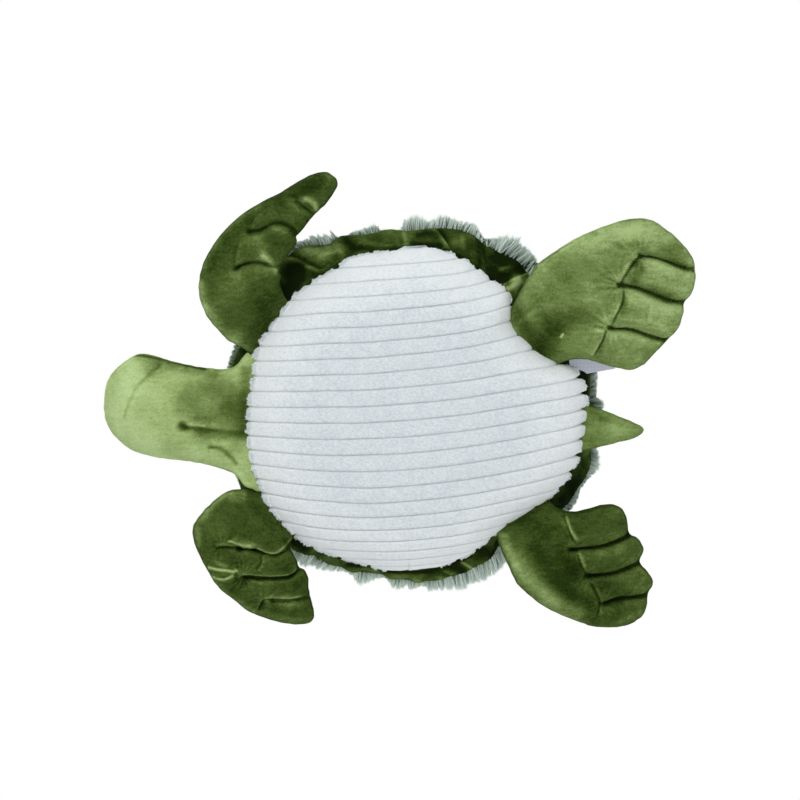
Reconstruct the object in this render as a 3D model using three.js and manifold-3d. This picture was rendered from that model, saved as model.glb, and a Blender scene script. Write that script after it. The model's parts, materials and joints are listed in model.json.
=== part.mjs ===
// A weighted plush turtle, sewn from flat fabric patterns and lying on its belly.
// Millimetres, +Z up, the floor at z = 0 under the middle of the belly, the head towards -Y and the
// turtle's left side towards +X. Every cover is a sewn skin, open where it meets the body, with its
// filling as a piece of its own inside it.
import * as THREE from "three";
import { mergeVertices } from "three/addons/utils/BufferGeometryUtils.js";
import Module from "manifold-3d";

const wasm = await Module();
wasm.setup();

// Sewing allowances
const CLOTH = 2.5; // thickness of a velour cover with its pile pressed flat
const PANEL = 3; // thickness of the ribbed belly panel
const PLUSH = 3; // backing of the long-haired shell fabric, without its hair
const SEAM_GAP = 0.3; // clearance between pieces that touch
const FILL_GAP = 0.5; // clearance between the body's filling and its cover
const LIMB_FILL_GAP = 0.8; // the same in a limb, whose cover is folded tighter
const INSET = 1.2; // how far inside a limb's outline a point 1 mm deep lies, on slanting edges too
const THINNEST = 0.5; // half thickness that a limb keeps beside its sewn edge

// Body
const SEAM_X = 137.5; // half width of the belly panel at its seam
const SEAM_Y = 144.5; // half length of the belly panel at its seam
const SEAM_Z = 34; // height of the belly seam before the underside is pressed flat
const PRESSED_FLAT = 0.5; // what the weight presses off the lowest point of the belly
const BRIM_OUT = 12.5; // how far the shell's brim stands out past the belly seam
const BRIM_Z = 60; // height of the brim
const SHELL_TOP = 134; // height of the shell's crown
const SHELL_FULLNESS = 2.3; // exponent of the dome, 2 is an ellipse

// Glass bead bag that gives the toy its weight
const BAG_RADIUS = 82;
const BAG_HEIGHT = 34;
const BAG_ROUND = 14; // radius of its upper edge
const BAG_CLOTH = 1.2;
const BAG_CLEAR = 0.6; // room round the bag
const BAG_MOUTH = 12; // radius of the filling hole in the top of the bag

// Flippers, neck and tail: each is sewn into the belly seam by a thin lip that bends as a hinge
const FLIPPER_LIP = 5; // half thickness of a flipper where it enters the seam
const FLIPPER_THICK = 15; // half thickness of a stuffed flipper
const FLIPPER_ROUND = 27; // how far in from its outline a flipper reaches that thickness
const FLIPPER_SWELL = 30; // distance from the seam over which it swells
const FLIPPER_FLOOR = 1.5; // clearance of a low flipper over the floor
const FLIPPER_SINK = 45; // distance from the seam over which it sinks towards the floor
const FRONT_ROOT = 54; // width of a front flipper at the seam
const FRONT_REACH = 74; // how far a front flipper stands out from its hinge line
const REAR_ROOT = 50;
const REAR_LEFT_REACH = 145;
const REAR_RIGHT_REACH = 121;
const STITCH_WIDTH = 8; // width of the valley that a row of stitches pulls in
const STITCH_DEPTH = 0.55; // share of the thickness that it pulls in
const NECK_ROOT = 92;
const NECK_LIP = 8;
const HEAD_REACH = 109; // from its hinge line to the snout
const HEAD_THICK = 33; // half thickness of the head
const HEAD_RISE = 12; // height of the head's middle over its hinge
const HEAD_SWELL = 75;
const HEAD_BLUNT = 4; // exponent of the snout's roundness
const TAIL_ROOT = 34;
const TAIL_REACH = 45;
const TAIL_THICK = 8;
const TAIL_LIP = 4;
const TAIL_SWELL = 14;
const TAIL_BLUNT = 2.2;
const TAIL_SINK = 4;

// Eyes
const EYE_RADIUS = 6.5;
const EYE_DOME = 4;
const EYE_BACK = 31; // distance from the snout
const EYE_ANGLE = 38; // degrees above the widest line of the head
const SHANK_RADIUS = 2;
const SHANK_LENGTH = 9;
const WASHER_RADIUS = 7;
const WASHER_THICK = 1.6;

// Care label
const LABEL_WIDTH = 17;
const LABEL_LENGTH = 35;
const LABEL_THICK = 0.8;
const LABEL_AT = 78; // where on the seam it is sewn in, degrees
const LABEL_TILT = 24; // degrees that it stands up from level

// How finely the skins are drawn
const TURNS = 32; // steps round the body
const BELLY_RINGS = 7;
const BRIM_RINGS = 3;
const SHELL_RINGS = 8;
const BAG_RINGS = 4;
const LIMB_LONG = 10;
const LIMB_ACROSS = 10;
const TAIL_LONG = 6;
const TAIL_ACROSS = 6;
const SEAT_STEPS = 12; // steps in which a limb is brought up to the seam

const rad = THREE.MathUtils.degToRad;
const { clamp, lerp, smoothstep } = THREE.MathUtils;

// The belly's outline is an ellipse drawn in where a flipper is sewn in, and pulled out a little at
// the right front one. Each row: angle, half width in degrees, share of the radius, sharpness.
const OUTLINE_PULLS = [
  [40, 22, -0.085, 2],
  [57.6, 16, -0.18, 4],
  [144, 20, -0.105, 2],
  [-125, 22, 0.05, 2],
  [-50, 15, -0.02, 2],
];

function outlineShare(angle) {
  let share = 1;
  for (const [at, half, pull, sharp] of OUTLINE_PULLS) {
    const turn = Math.atan2(Math.sin(angle - rad(at)), Math.cos(angle - rad(at)));
    share += pull * Math.exp(-(Math.abs(turn / rad(half)) ** sharp));
  }
  return share;
}

const MEAN_R = (SEAM_X + SEAM_Y) / 2;

// A point of the body: rho and z lie on the mean profile, angle goes round from +X to +Y, and pull
// says how much of the belly's drawn-in outline is left there.
function bodyPoint(rho, z, angle, pull) {
  const share = lerp(1, outlineShare(angle), pull);
  const r = (rho / MEAN_R) * share;
  return new THREE.Vector3(SEAM_X * r * Math.cos(angle), SEAM_Y * r * Math.sin(angle), z);
}

// The body's outer profile. t runs 0 to 1 over the belly, to 2 over the brim's underside, to 3 over
// the shell.
function outerProfile(t) {
  if (t <= 1) {
    const turn = (t * Math.PI) / 2;
    const z = SEAM_Z * (1 - Math.cos(turn));
    return [MEAN_R * Math.sqrt(Math.sin(turn)), z];
  }
  const brim = MEAN_R + BRIM_OUT;
  if (t <= 2) {
    return [lerp(MEAN_R, brim, t - 1), lerp(SEAM_Z, BRIM_Z, t - 1)];
  }
  const turn = ((t - 2) * Math.PI) / 2;
  const power = 2 / SHELL_FULLNESS;
  const rho = brim * Math.max(Math.cos(turn), 0) ** power;
  return [rho, lerp(BRIM_Z, SHELL_TOP, Math.sin(turn) ** power)];
}

// A point on the body's outside. The drawn-in outline fades out between the belly's seam and the brim.
function outside(t, angle) {
  return bodyPoint(...outerProfile(t), angle, 1 - clamp(t - 1, 0, 1) ** 3);
}

// The direction into the body, square to its outside at t.
function inwardAt(t, angle) {
  const step = 0.003;
  const along = outside(Math.min(t + step, 3), angle).sub(outside(Math.max(t - step, 0), angle));
  const round = outside(t, angle + step).sub(outside(t, angle - step));
  return along.cross(round).normalize();
}

// The same, but at the belly's seam and at the brim it is the mitre between the two sides, so that
// the skins on both sides of a seam meet at equal depth.
function inward(t, angle) {
  for (const corner of [1, 2]) {
    if (Math.abs(t - corner) > 0.05) continue;
    const before = inwardAt(corner - 0.01, angle);
    const after = inwardAt(corner + 0.01, angle);
    return before.clone().add(after).divideScalar(1 + before.dot(after));
  }
  return inwardAt(t, angle);
}

// A point under the outside, depth into the body. The weight presses the lowest part flat.
function skinPoint(t, angle, depth) {
  const pole = t <= 0 || t >= 3;
  const inner = pole ? new THREE.Vector3(0, 0, t <= 0 ? 1 : -1) : inward(t, angle);
  const p = outside(t, angle).addScaledVector(inner, depth);
  if (pole) p.setX(0).setY(0);
  return p.setZ(Math.max(p.z, PRESSED_FLAT + depth) - PRESSED_FLAT);
}

// Rings of the body's skin at a depth, one for each station.
function skinRings(list, depth) {
  return list.map((t) => ({ pole: t <= 0 || t >= 3, point: (angle) => skinPoint(t, angle, depth) }));
}

function samples(from, to, count) {
  return Array.from({ length: count + 1 }, (_, i) => lerp(from, to, i / count));
}

// The places along the profile where each panel has a ring: from, to and how many steps.
function stations(from, to, count, trimFrom = 0, trimTo = 0) {
  const list = samples(from, to, count);
  list[0] += trimFrom;
  list[count] -= trimTo;
  return list;
}

// Closed body swept round the middle from rings. A list that starts and ends at a pole closes there;
// any other closes on itself.
function sweepRound(list) {
  const positions = [];
  const index = [];
  const rings = list.map(({ pole, point }) => {
    const first = positions.length / 3;
    const count = pole ? 1 : TURNS;
    for (let i = 0; i < count; i += 1) {
      positions.push(...point((i / TURNS) * 2 * Math.PI));
    }
    return { first, count };
  });
  const at = (ring, i) => ring.first + (i % ring.count);
  const onAxis = rings[0].count === 1;
  const joins = onAxis ? rings.length - 1 : rings.length;
  for (let k = 0; k < joins; k += 1) {
    const a = rings[k];
    const b = rings[(k + 1) % rings.length];
    for (let i = 0; i < TURNS; i += 1) {
      if (a.count > 1) index.push(at(a, i), at(a, i + 1), at(b, i));
      if (b.count > 1) index.push(at(a, i + 1), at(b, i + 1), at(b, i));
    }
  }
  return solidOf(positions, index);
}

// A manifold solid from positions and triangles, turned so that its faces point out.
function solidOf(positions, index) {
  const flat = new THREE.BufferGeometry();
  flat.setAttribute("position", new THREE.Float32BufferAttribute(positions, 3));
  flat.setIndex(index);
  const merged = mergeVertices(flat, 1e-4);
  const triVerts = new Uint32Array(merged.index.array);
  const vertProperties = new Float32Array(merged.attributes.position.array);
  const build = () => new wasm.Manifold(new wasm.Mesh({ numProp: 3, vertProperties, triVerts }));
  const solid = build();
  if (solid.volume() >= 0) return solid;
  for (let i = 0; i < triVerts.length; i += 3) {
    [triVerts[i + 1], triVerts[i + 2]] = [triVerts[i + 2], triVerts[i + 1]];
  }
  return build();
}

// The solid of a plain three.js geometry.
function solidFrom(geometry) {
  const bare = geometry.clone();
  bare.deleteAttribute("normal");
  bare.deleteAttribute("uv");
  const merged = mergeVertices(bare, 1e-4);
  return solidOf([...merged.attributes.position.array], [...merged.index.array]);
}

// A panel of the body's skin between two stations, as deep as its cloth.
function skinPanel(list, cloth) {
  return sweepRound([...skinRings(list, 0), ...skinRings(list, cloth).reverse()]);
}

function bellyStations() {
  return stations(0, 1, BELLY_RINGS, 0, SEAM_GAP / SEAM_Z);
}

function brimStations() {
  const trim = SEAM_GAP / Math.hypot(BRIM_OUT, BRIM_Z - SEAM_Z);
  return stations(1, 2, BRIM_RINGS, trim, trim);
}

function bellyPanel() {
  return skinPanel(bellyStations(), PANEL);
}

function brimUnderside() {
  return skinPanel(brimStations(), CLOTH);
}

function shellCover() {
  return skinPanel(stations(2, 3, SHELL_RINGS, SEAM_GAP / (SHELL_TOP - BRIM_Z)), PLUSH);
}

// The bag lies in the lowest part of the belly, on the panel, in a hollow of the stuffing.
const bagTop = PANEL + BAG_CLEAR + BAG_HEIGHT;

function bagRings(grow) {
  const edgeAt = Math.asin((BAG_RADIUS / MEAN_R) ** 2) / (Math.PI / 2);
  const under = skinRings(samples(0, edgeAt, BAG_RINGS), PANEL + BAG_CLEAR - grow);
  const shoulder = samples(0, 90, 3).map((turn) => {
    const rho = BAG_RADIUS - BAG_ROUND + (BAG_ROUND + grow) * Math.cos(rad(turn));
    const z = bagTop - BAG_ROUND + (BAG_ROUND + grow) * Math.sin(rad(turn));
    return { pole: false, point: (angle) => bodyPoint(rho, z, angle, 1) };
  });
  return [...under, ...shoulder, { pole: true, point: () => new THREE.Vector3(0, 0, bagTop + grow) }];
}

function beadBag() {
  const mouth = [bagTop, bagTop - BAG_CLOTH].map((z) => ({
    pole: false,
    point: (angle) => bodyPoint(BAG_MOUTH, z, angle, 1),
  }));
  return sweepRound([
    ...bagRings(0).slice(0, -1),
    ...mouth,
    ...bagRings(-BAG_CLOTH).slice(0, -1).reverse(),
  ]);
}

function beadFill() {
  return sweepRound(bagRings(-BAG_CLOTH - FILL_GAP).reverse());
}

function bodyStuffing() {
  const belly = skinRings(stations(0, 1, BELLY_RINGS), PANEL + FILL_GAP);
  const brim = skinRings(stations(1, 2, BRIM_RINGS).slice(1), CLOTH + FILL_GAP);
  const dome = skinRings(stations(2, 3, SHELL_RINGS).slice(1), PLUSH + FILL_GAP);
  const whole = sweepRound([...belly, ...brim, ...dome].reverse());
  return whole.subtract(sweepRound(bagRings(BAG_CLEAR)));
}

// Patterns of the limbs as they lie, in millimetres for a limb that stands out as far as drawn says.
// Points are [across, out] from the middle of the hinge line. Minus is the side on the right hand of
// someone who looks out along the limb, and tip is the edge between the two sides.
const FRONT_LEFT = {
  drawn: 74,
  root: FRONT_ROOT,
  minus: [[-29, 23], [-18, 53], [7, 70], [45, 74], [84, 62], [123, 42]],
  tip: [[134, 36], [139, 27], [134, 19]],
  plus: [[38, 10], [47, 17], [79, 24], [101, 20]],
  stitches: [[[47, 17], [27, 49]], [[80, 24], [59, 58]], [[103, 19], [103, 41]]],
};
const FRONT_RIGHT = {
  drawn: 73,
  root: FRONT_ROOT,
  minus: [[-43, 5], [-63, 13], [-75, 20]],
  tip: [[-84, 26], [-89, 33], [-85, 40]],
  plus: [[35, 1], [41, 33], [35, 55], [5, 68], [-33, 70], [-62, 58]],
  stitches: [[[-26, 5], [-24, 18], [-8, 28], [16, 40]], [[-48, 9], [-18, 49]], [[-71, 21], [-48, 49]]],
};
const REAR_LEFT = {
  drawn: 145,
  root: REAR_ROOT,
  minus: [[-31, 6], [-42, 25], [-45, 57], [-36, 109]],
  tip: [[-20, 134], [2, 144], [30, 144], [36, 140], [46, 134], [54, 117], [66, 104], [69, 84], [76, 64]],
  plus: [[33, 2], [37, 13], [48, 26], [63, 38]],
  stitches: [[[36, 140], [-1, 111]], [[54, 117], [9, 81]], [[69, 84], [33, 53]]],
};
const REAR_RIGHT = {
  drawn: 121,
  root: REAR_ROOT,
  minus: [[-31, 10], [-44, 20], [-58, 24]],
  tip: [[-70, 33], [-70, 50], [-66, 58], [-68, 70], [-59, 81], [-60, 97], [-49, 109], [-38, 119]],
  plus: [[33, 10], [37, 34], [28, 70], [10, 100], [-14, 118]],
  stitches: [[[-66, 58], [-40, 52], [-21, 40]], [[-59, 81], [-15, 65]], [[-49, 109], [-12, 92]]],
};
const HEAD = {
  drawn: 109,
  root: NECK_ROOT,
  minus: [[-41, 12], [-33, 27], [-28, 47], [-24, 70], [-16, 90]],
  tip: [[-4, 102], [19, 109], [42, 104]],
  plus: [[47, 10], [49, 24], [57, 48], [63, 68], [60, 88]],
  stitches: [],
};
const TAIL = {
  drawn: 45,
  root: TAIL_ROOT,
  minus: [[-14, 9], [-8, 26]],
  tip: [[-1.5, 43], [1, 45], [3.5, 43]],
  plus: [[14, 9], [9, 26]],
  stitches: [],
};

function seamPoint(degrees) {
  return outside(1, rad(degrees));
}

function distanceToPath(point, path) {
  const spot = new THREE.Vector3(point.x, point.y, 0);
  const nearest = new THREE.Vector3();
  let best = Infinity;
  for (let i = 1; i < path.length; i += 1) {
    const a = new THREE.Vector3(path[i - 1].x, path[i - 1].y, 0);
    const b = new THREE.Vector3(path[i].x, path[i].y, 0);
    new THREE.Line3(a, b).closestPointToPoint(spot, true, nearest);
    best = Math.min(best, nearest.distanceTo(spot));
  }
  return best;
}

// A limb's flat pattern as a patch: u runs from the root to the tip edge, v from the minus side to
// the plus side. It gives the place and how far that place is from the sewn edge.
function patternOf(pattern, reach) {
  const scale = reach / pattern.drawn;
  const scaled = (points) => points.map(([a, b]) => new THREE.Vector2(a * scale, b * scale));
  const half = pattern.root / 2;
  const tip = new THREE.SplineCurve(scaled(pattern.tip));
  const minus = new THREE.SplineCurve([
    new THREE.Vector2(-half, 0),
    ...scaled(pattern.minus),
    tip.getPoint(0),
  ]);
  const plus = new THREE.SplineCurve([new THREE.Vector2(half, 0), ...scaled(pattern.plus), tip.getPoint(1)]);
  const edge = [minus.getSpacedPoints(40), tip.getSpacedPoints(30), plus.getSpacedPoints(40).reverse()].flat();
  const stitches = pattern.stitches.map(scaled);
  const place = (u, v) => {
    const sides = minus.getPointAt(u).lerp(plus.getPointAt(u), v);
    const ends = new THREE.Vector2(lerp(-half, half, v), 0).lerp(tip.getPointAt(v), u);
    const cornerMinus = new THREE.Vector2(-half, 0).lerp(tip.getPoint(0), u);
    const cornerPlus = new THREE.Vector2(half, 0).lerp(tip.getPoint(1), u);
    return sides.add(ends).sub(cornerMinus.lerp(cornerPlus, v));
  };
  const toEdge = (point) => distanceToPath(point, edge);
  const stitched = (point) => {
    let pull = 0;
    for (const path of stitches) {
      pull = Math.max(pull, Math.exp(-((distanceToPath(point, path) / STITCH_WIDTH) ** 2)));
    }
    return 1 - STITCH_DEPTH * pull;
  };
  return { place, toEdge, stitched };
}

// Half thickness of a flat stuffed limb, depth below its surface.
function flipperHalf(limb, pattern, point, depth) {
  const swell = smoothstep(point.y, 0, limb.swell);
  const full = lerp(limb.lip, limb.thick, swell);
  const inFrom = clamp((pattern.toEdge(point) - depth) / (limb.round - depth), 0, 1);
  const pillow = Math.sqrt(1 - (1 - inFrom) ** 2);
  return (full * pattern.stitched(point) - depth) * pillow;
}

// Half thickness of the head or tail, which are round in section: u and v are its patch values.
function roundHalf(limb, pattern, point, depth, u, v) {
  const swell = smoothstep(point.y, 0, limb.swell);
  const full = lerp(limb.lip, limb.thick, swell);
  const nose = Math.sqrt(clamp(1 - u ** limb.blunt, 0, 1));
  const belly = Math.sqrt(clamp(1 - (2 * v - 1) ** 2, 0, 1));
  return Math.max(full - depth, limb.lip - depth) * lerp(belly, 1, 0.12 * belly) * nose;
}

// The skin of a limb as rings round its section, depth below the outside, in the limb's own frame:
// x across, y out, z up from the hinge line. Each ring runs over the top and back below, and the
// last one is a single row of points along the tip edge. A filling is shrunk inside the same rings
// and ends one ring sooner.
function limbRings(limb, depth, shrink = 0) {
  const pattern = patternOf(limb.pattern, limb.reach);
  const rings = [];
  const insetU = 1 - (depth * INSET) / limb.length;
  const end = shrink ? limb.long - 1 : limb.long;
  for (let k = 0; k <= end; k += 1) {
    const u = (k / limb.long) * insetU;
    const span = pattern.place(u, 0).distanceTo(pattern.place(u, 1));
    const inset = Math.min(((depth + shrink) * INSET) / Math.max(span, 1), 0.3);
    const top = [];
    const bottom = [];
    for (let j = 0; j <= limb.wide; j += 1) {
      const spread = limb.round ? j / limb.wide : (1 - Math.cos((j / limb.wide) * Math.PI)) / 2;
      const v = lerp(inset, 1 - inset, spread);
      const point = pattern.place(u, v);
      const middle = new THREE.Vector3(point.x, point.y, limb.height(point));
      const onEdge = j === 0 || j === limb.wide || k === end;
      const local = limb.round
        ? flipperHalf(limb, pattern, point, depth)
        : roundHalf(limb, pattern, point, depth, u, v);
      const half = onEdge ? 0 : Math.max(local - shrink, THINNEST / (1 + depth + shrink));
      top.push(middle.clone().add(new THREE.Vector3(0, 0, half)));
      if (j > 0 && j < limb.wide) bottom.unshift(middle.clone().sub(new THREE.Vector3(0, 0, half)));
    }
    rings.push(k === end ? top : [...top, ...bottom]);
  }
  return rings;
}

// The round lip behind the hinge line, that closes the cover to a slot where it enters the seam.
function lipRings(root) {
  return [65, 35].map((turn) =>
    root.map((p) => {
      const high = Math.max(Math.abs(p.z), 1);
      return new THREE.Vector3(p.x, p.y - high * Math.sin(rad(turn)), p.z * Math.cos(rad(turn)));
    }),
  );
}

// Joins neighbouring rings; the last ring may be the single row of the tip edge.
function joinRings(rings, index, starts) {
  const wrap = rings[0].length;
  for (let k = 0; k + 1 < rings.length; k += 1) {
    const single = rings[k + 1].length < wrap;
    const near = (j) => starts[k] + (j % wrap);
    const far = (j) => starts[k + 1] + (single ? Math.min(j % wrap, (wrap - j) % wrap) : j % wrap);
    for (let j = 0; j < wrap; j += 1) {
      index.push(near(j), near(j + 1), far(j));
      if (far(j) !== far(j + 1)) index.push(near(j + 1), far(j + 1), far(j));
    }
  }
}

function addRings(rings, positions) {
  return rings.map((ring) => {
    const start = positions.length / 3;
    for (const p of ring) positions.push(p.x, p.y, p.z);
    return start;
  });
}

// The body's outer skin as triangles, the same ones that the panels have, without the belly's middle.
function skinTriangles() {
  const triangles = [];
  for (const list of [bellyStations().slice(1), brimStations()]) {
    const rings = list.map((t) => samples(0, 2 * Math.PI, TURNS).map((angle) => skinPoint(t, angle, 0)));
    for (let k = 1; k < rings.length; k += 1) {
      for (let i = 0; i < TURNS; i += 1) {
        triangles.push(new THREE.Triangle(rings[k - 1][i], rings[k - 1][i + 1], rings[k][i]));
        triangles.push(new THREE.Triangle(rings[k - 1][i + 1], rings[k][i + 1], rings[k][i]));
      }
    }
  }
  return triangles.map((triangle) => {
    const middle = triangle.getMidpoint(new THREE.Vector3());
    const size = Math.max(...["a", "b", "c"].map((corner) => triangle[corner].distanceTo(middle)));
    return { triangle, middle, size };
  });
}

// Points all over the part of a limb's cover that lies beside the seam, in the limb's own frame.
function lipPoints(limb) {
  const rings = limbRings(limb, 0).slice(0, 3);
  const near = [...lipRings(rings[0]), ...rings];
  const points = [];
  for (let k = 1; k < near.length; k += 1) {
    const wrap = near[k].length;
    for (let j = 0; j < wrap; j += 1) {
      for (const along of samples(0, 1, 3)) {
        const a = near[k - 1][j].clone().lerp(near[k - 1][(j + 1) % wrap], along);
        const b = near[k][j].clone().lerp(near[k][(j + 1) % wrap], along);
        points.push(a, b, a.clone().add(b).divideScalar(2));
      }
    }
  }
  return points;
}

// The hinge line of a limb that is sewn in round the seam angle given. The limb comes in from outside
// until its lip is SEAM_GAP from the belly or the brim.
function hingeFor(limb) {
  const out = new THREE.Vector3(Math.cos(rad(limb.facing)), Math.sin(rad(limb.facing)), 0);
  const across = new THREE.Vector3(-out.y, out.x, 0);
  const origin = seamPoint(limb.seat).setZ(SEAM_Z - PRESSED_FLAT - limb.lip);
  origin.addScaledVector(out, BRIM_OUT + 2 * limb.lip);
  const points = lipPoints(limb);
  const skin = skinTriangles();
  const nearest = new THREE.Vector3();
  for (let step = 0; step < SEAT_STEPS; step += 1) {
    let gap = BRIM_OUT + limb.root;
    for (const local of points) {
      const p = origin.clone().addScaledVector(across, local.x).addScaledVector(out, local.y);
      p.z += local.z;
      for (const { triangle, middle, size } of skin) {
        if (p.distanceTo(middle) - size > gap) continue;
        triangle.closestPointToPoint(p, nearest);
        gap = Math.min(gap, nearest.distanceTo(p));
      }
    }
    origin.addScaledVector(out, SEAM_GAP - gap);
  }
  return { origin, across, out };
}

function placeLimb(solid, hinge) {
  const frame = new THREE.Matrix4().makeBasis(hinge.across, hinge.out, new THREE.Vector3(0, 0, 1));
  // across, out and up are left-handed as a basis, so the mesh is rebuilt with its faces turned.
  frame.setPosition(hinge.origin);
  const mesh = solid.getMesh();
  const positions = [];
  for (let i = 0; i < mesh.numVert; i += 1) {
    const at = i * mesh.numProp;
    const p = new THREE.Vector3(...mesh.vertProperties.slice(at, at + 3)).applyMatrix4(frame);
    positions.push(p.x, p.y, p.z);
  }
  return solidOf(positions, [...mesh.triVerts]);
}

function limbCover(limb) {
  const outer = limbRings(limb, 0);
  const inner = limbRings(limb, CLOTH);
  const outside = [...lipRings(outer[0]), ...outer];
  const positions = [];
  const index = [];
  const outsideAt = addRings(outside, positions);
  const insideAt = addRings(inner, positions);
  joinRings(outside, index, outsideAt);
  const turned = [];
  joinRings(inner, turned, insideAt);
  for (let i = 0; i < turned.length; i += 3) index.push(turned[i], turned[i + 2], turned[i + 1]);
  joinRings([inner[0], outside[0]], index, [insideAt[0], outsideAt[0]]);
  return solidOf(positions, index);
}

function limbStuffing(limb) {
  const rings = limbRings(limb, CLOTH, LIMB_FILL_GAP);
  const positions = [];
  const index = [];
  const starts = addRings(rings, positions);
  joinRings(rings, index, starts);
  const wrap = rings[0].length;
  for (let j = 0; j < limb.wide; j += 1) {
    const below = (wrap - j) % wrap;
    const belowNext = wrap - j - 1;
    if (j > 0) index.push(j, below, j + 1);
    if (j + 1 < limb.wide) index.push(below, belowNext, j + 1);
  }
  return solidOf(positions, index);
}

// How high the middle of a limb lies over its hinge line. It sinks by drop just outside the seam and
// rises again towards its far end.
function heightOf({ drop, sink, rise, heading, from, to }) {
  const along = new THREE.Vector2(...heading).normalize();
  return (p) => {
    const far = smoothstep(p.dot(along), from, to);
    return -drop * smoothstep(p.y, 0, sink) + rise * far;
  };
}

const flipperDrop = SEAM_Z - PRESSED_FLAT - FLIPPER_LIP - FLIPPER_THICK - FLIPPER_FLOOR;

function flipper(name, seat, facing, pattern, reach, height) {
  return {
    name,
    seat,
    facing,
    pattern,
    reach,
    root: pattern.root,
    lip: FLIPPER_LIP,
    thick: FLIPPER_THICK,
    round: FLIPPER_ROUND,
    swell: FLIPPER_SWELL,
    long: LIMB_LONG,
    wide: LIMB_ACROSS,
    length: reach * 1.3,
    height: heightOf({ drop: flipperDrop, sink: FLIPPER_SINK, ...height }),
  };
}

const LIMBS = [
  flipper("front_left", -59.5, -54.7, FRONT_LEFT, FRONT_REACH, {
    rise: 4,
    heading: [1.7, 0.4],
    from: 60,
    to: 140,
  }),
  flipper("front_right", -128, -132.6, FRONT_RIGHT, FRONT_REACH, {
    rise: 34,
    heading: [-1.08, 0.48],
    from: 30,
    to: 100,
  }),
  flipper("rear_left", 56.5, 53.9, REAR_LEFT, REAR_LEFT_REACH, {
    rise: 4,
    heading: [0.3, 1],
    from: 80,
    to: 160,
  }),
  flipper("rear_right", 135.5, 145.1, REAR_RIGHT, REAR_RIGHT_REACH, {
    rise: 30,
    heading: [-0.4, 0.9],
    from: 40,
    to: 130,
  }),
  {
    name: "head",
    seat: -94.9,
    facing: -92.9,
    pattern: HEAD,
    reach: HEAD_REACH,
    root: NECK_ROOT,
    lip: NECK_LIP,
    thick: HEAD_THICK,
    swell: HEAD_SWELL,
    blunt: HEAD_BLUNT,
    long: LIMB_LONG,
    wide: LIMB_ACROSS,
    length: HEAD_REACH,
    height: (p) => HEAD_RISE * smoothstep(p.y, 0, HEAD_SWELL),
  },
  {
    name: "tail",
    seat: 96.4,
    facing: 90,
    pattern: TAIL,
    reach: TAIL_REACH,
    root: TAIL_ROOT,
    lip: TAIL_LIP,
    thick: TAIL_THICK,
    swell: TAIL_SWELL,
    blunt: TAIL_BLUNT,
    long: TAIL_LONG,
    wide: TAIL_ACROSS,
    length: TAIL_REACH,
    height: (p) => -TAIL_SINK * smoothstep(p.y, 0, TAIL_REACH),
  },
];

const COLOURS = {
  velour: 0x5f7d3c,
  light: 0x93ae63,
  ribbed: 0xe4eaee,
  fur: 0xaac3b9,
  fill: 0xf2f2ee,
  cotton: 0xe6dfcf,
  beads: 0xc9d4d6,
  black: 0x101010,
  washer: 0xd8d8d4,
  label: 0xdcdcee,
};
const ROUGHNESS = { black: 0.15, beads: 0.25, washer: 0.6 };

const turtle = new THREE.Group();
turtle.name = "plush_turtle";
turtle.userData.hinges = {};

function addPiece(name, solid, kind) {
  const mesh = solid.getMesh();
  const count = mesh.numVert;
  const positions = new Float32Array(count * 3);
  for (let i = 0; i < count; i += 1) {
    const at = i * mesh.numProp;
    positions.set(mesh.vertProperties.slice(at, at + 3), i * 3);
  }
  const geometry = new THREE.BufferGeometry();
  geometry.setAttribute("position", new THREE.BufferAttribute(positions, 3));
  geometry.setIndex(new THREE.BufferAttribute(new Uint32Array(mesh.triVerts), 1));
  geometry.computeVertexNormals();
  const material = new THREE.MeshStandardMaterial({
    color: COLOURS[kind],
    roughness: ROUGHNESS[kind] ?? 0.95,
    metalness: 0,
  });
  const piece = new THREE.Mesh(geometry, material);
  piece.name = name;
  turtle.add(piece);
  return piece;
}

addPiece("belly_panel", bellyPanel(), "ribbed");
addPiece("brim_underside", brimUnderside(), "velour");
addPiece("shell_cover", shellCover(), "fur");
addPiece("body_stuffing", bodyStuffing(), "fill");
addPiece("bead_bag", beadBag(), "cotton");
addPiece("glass_beads", beadFill(), "beads");

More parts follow.
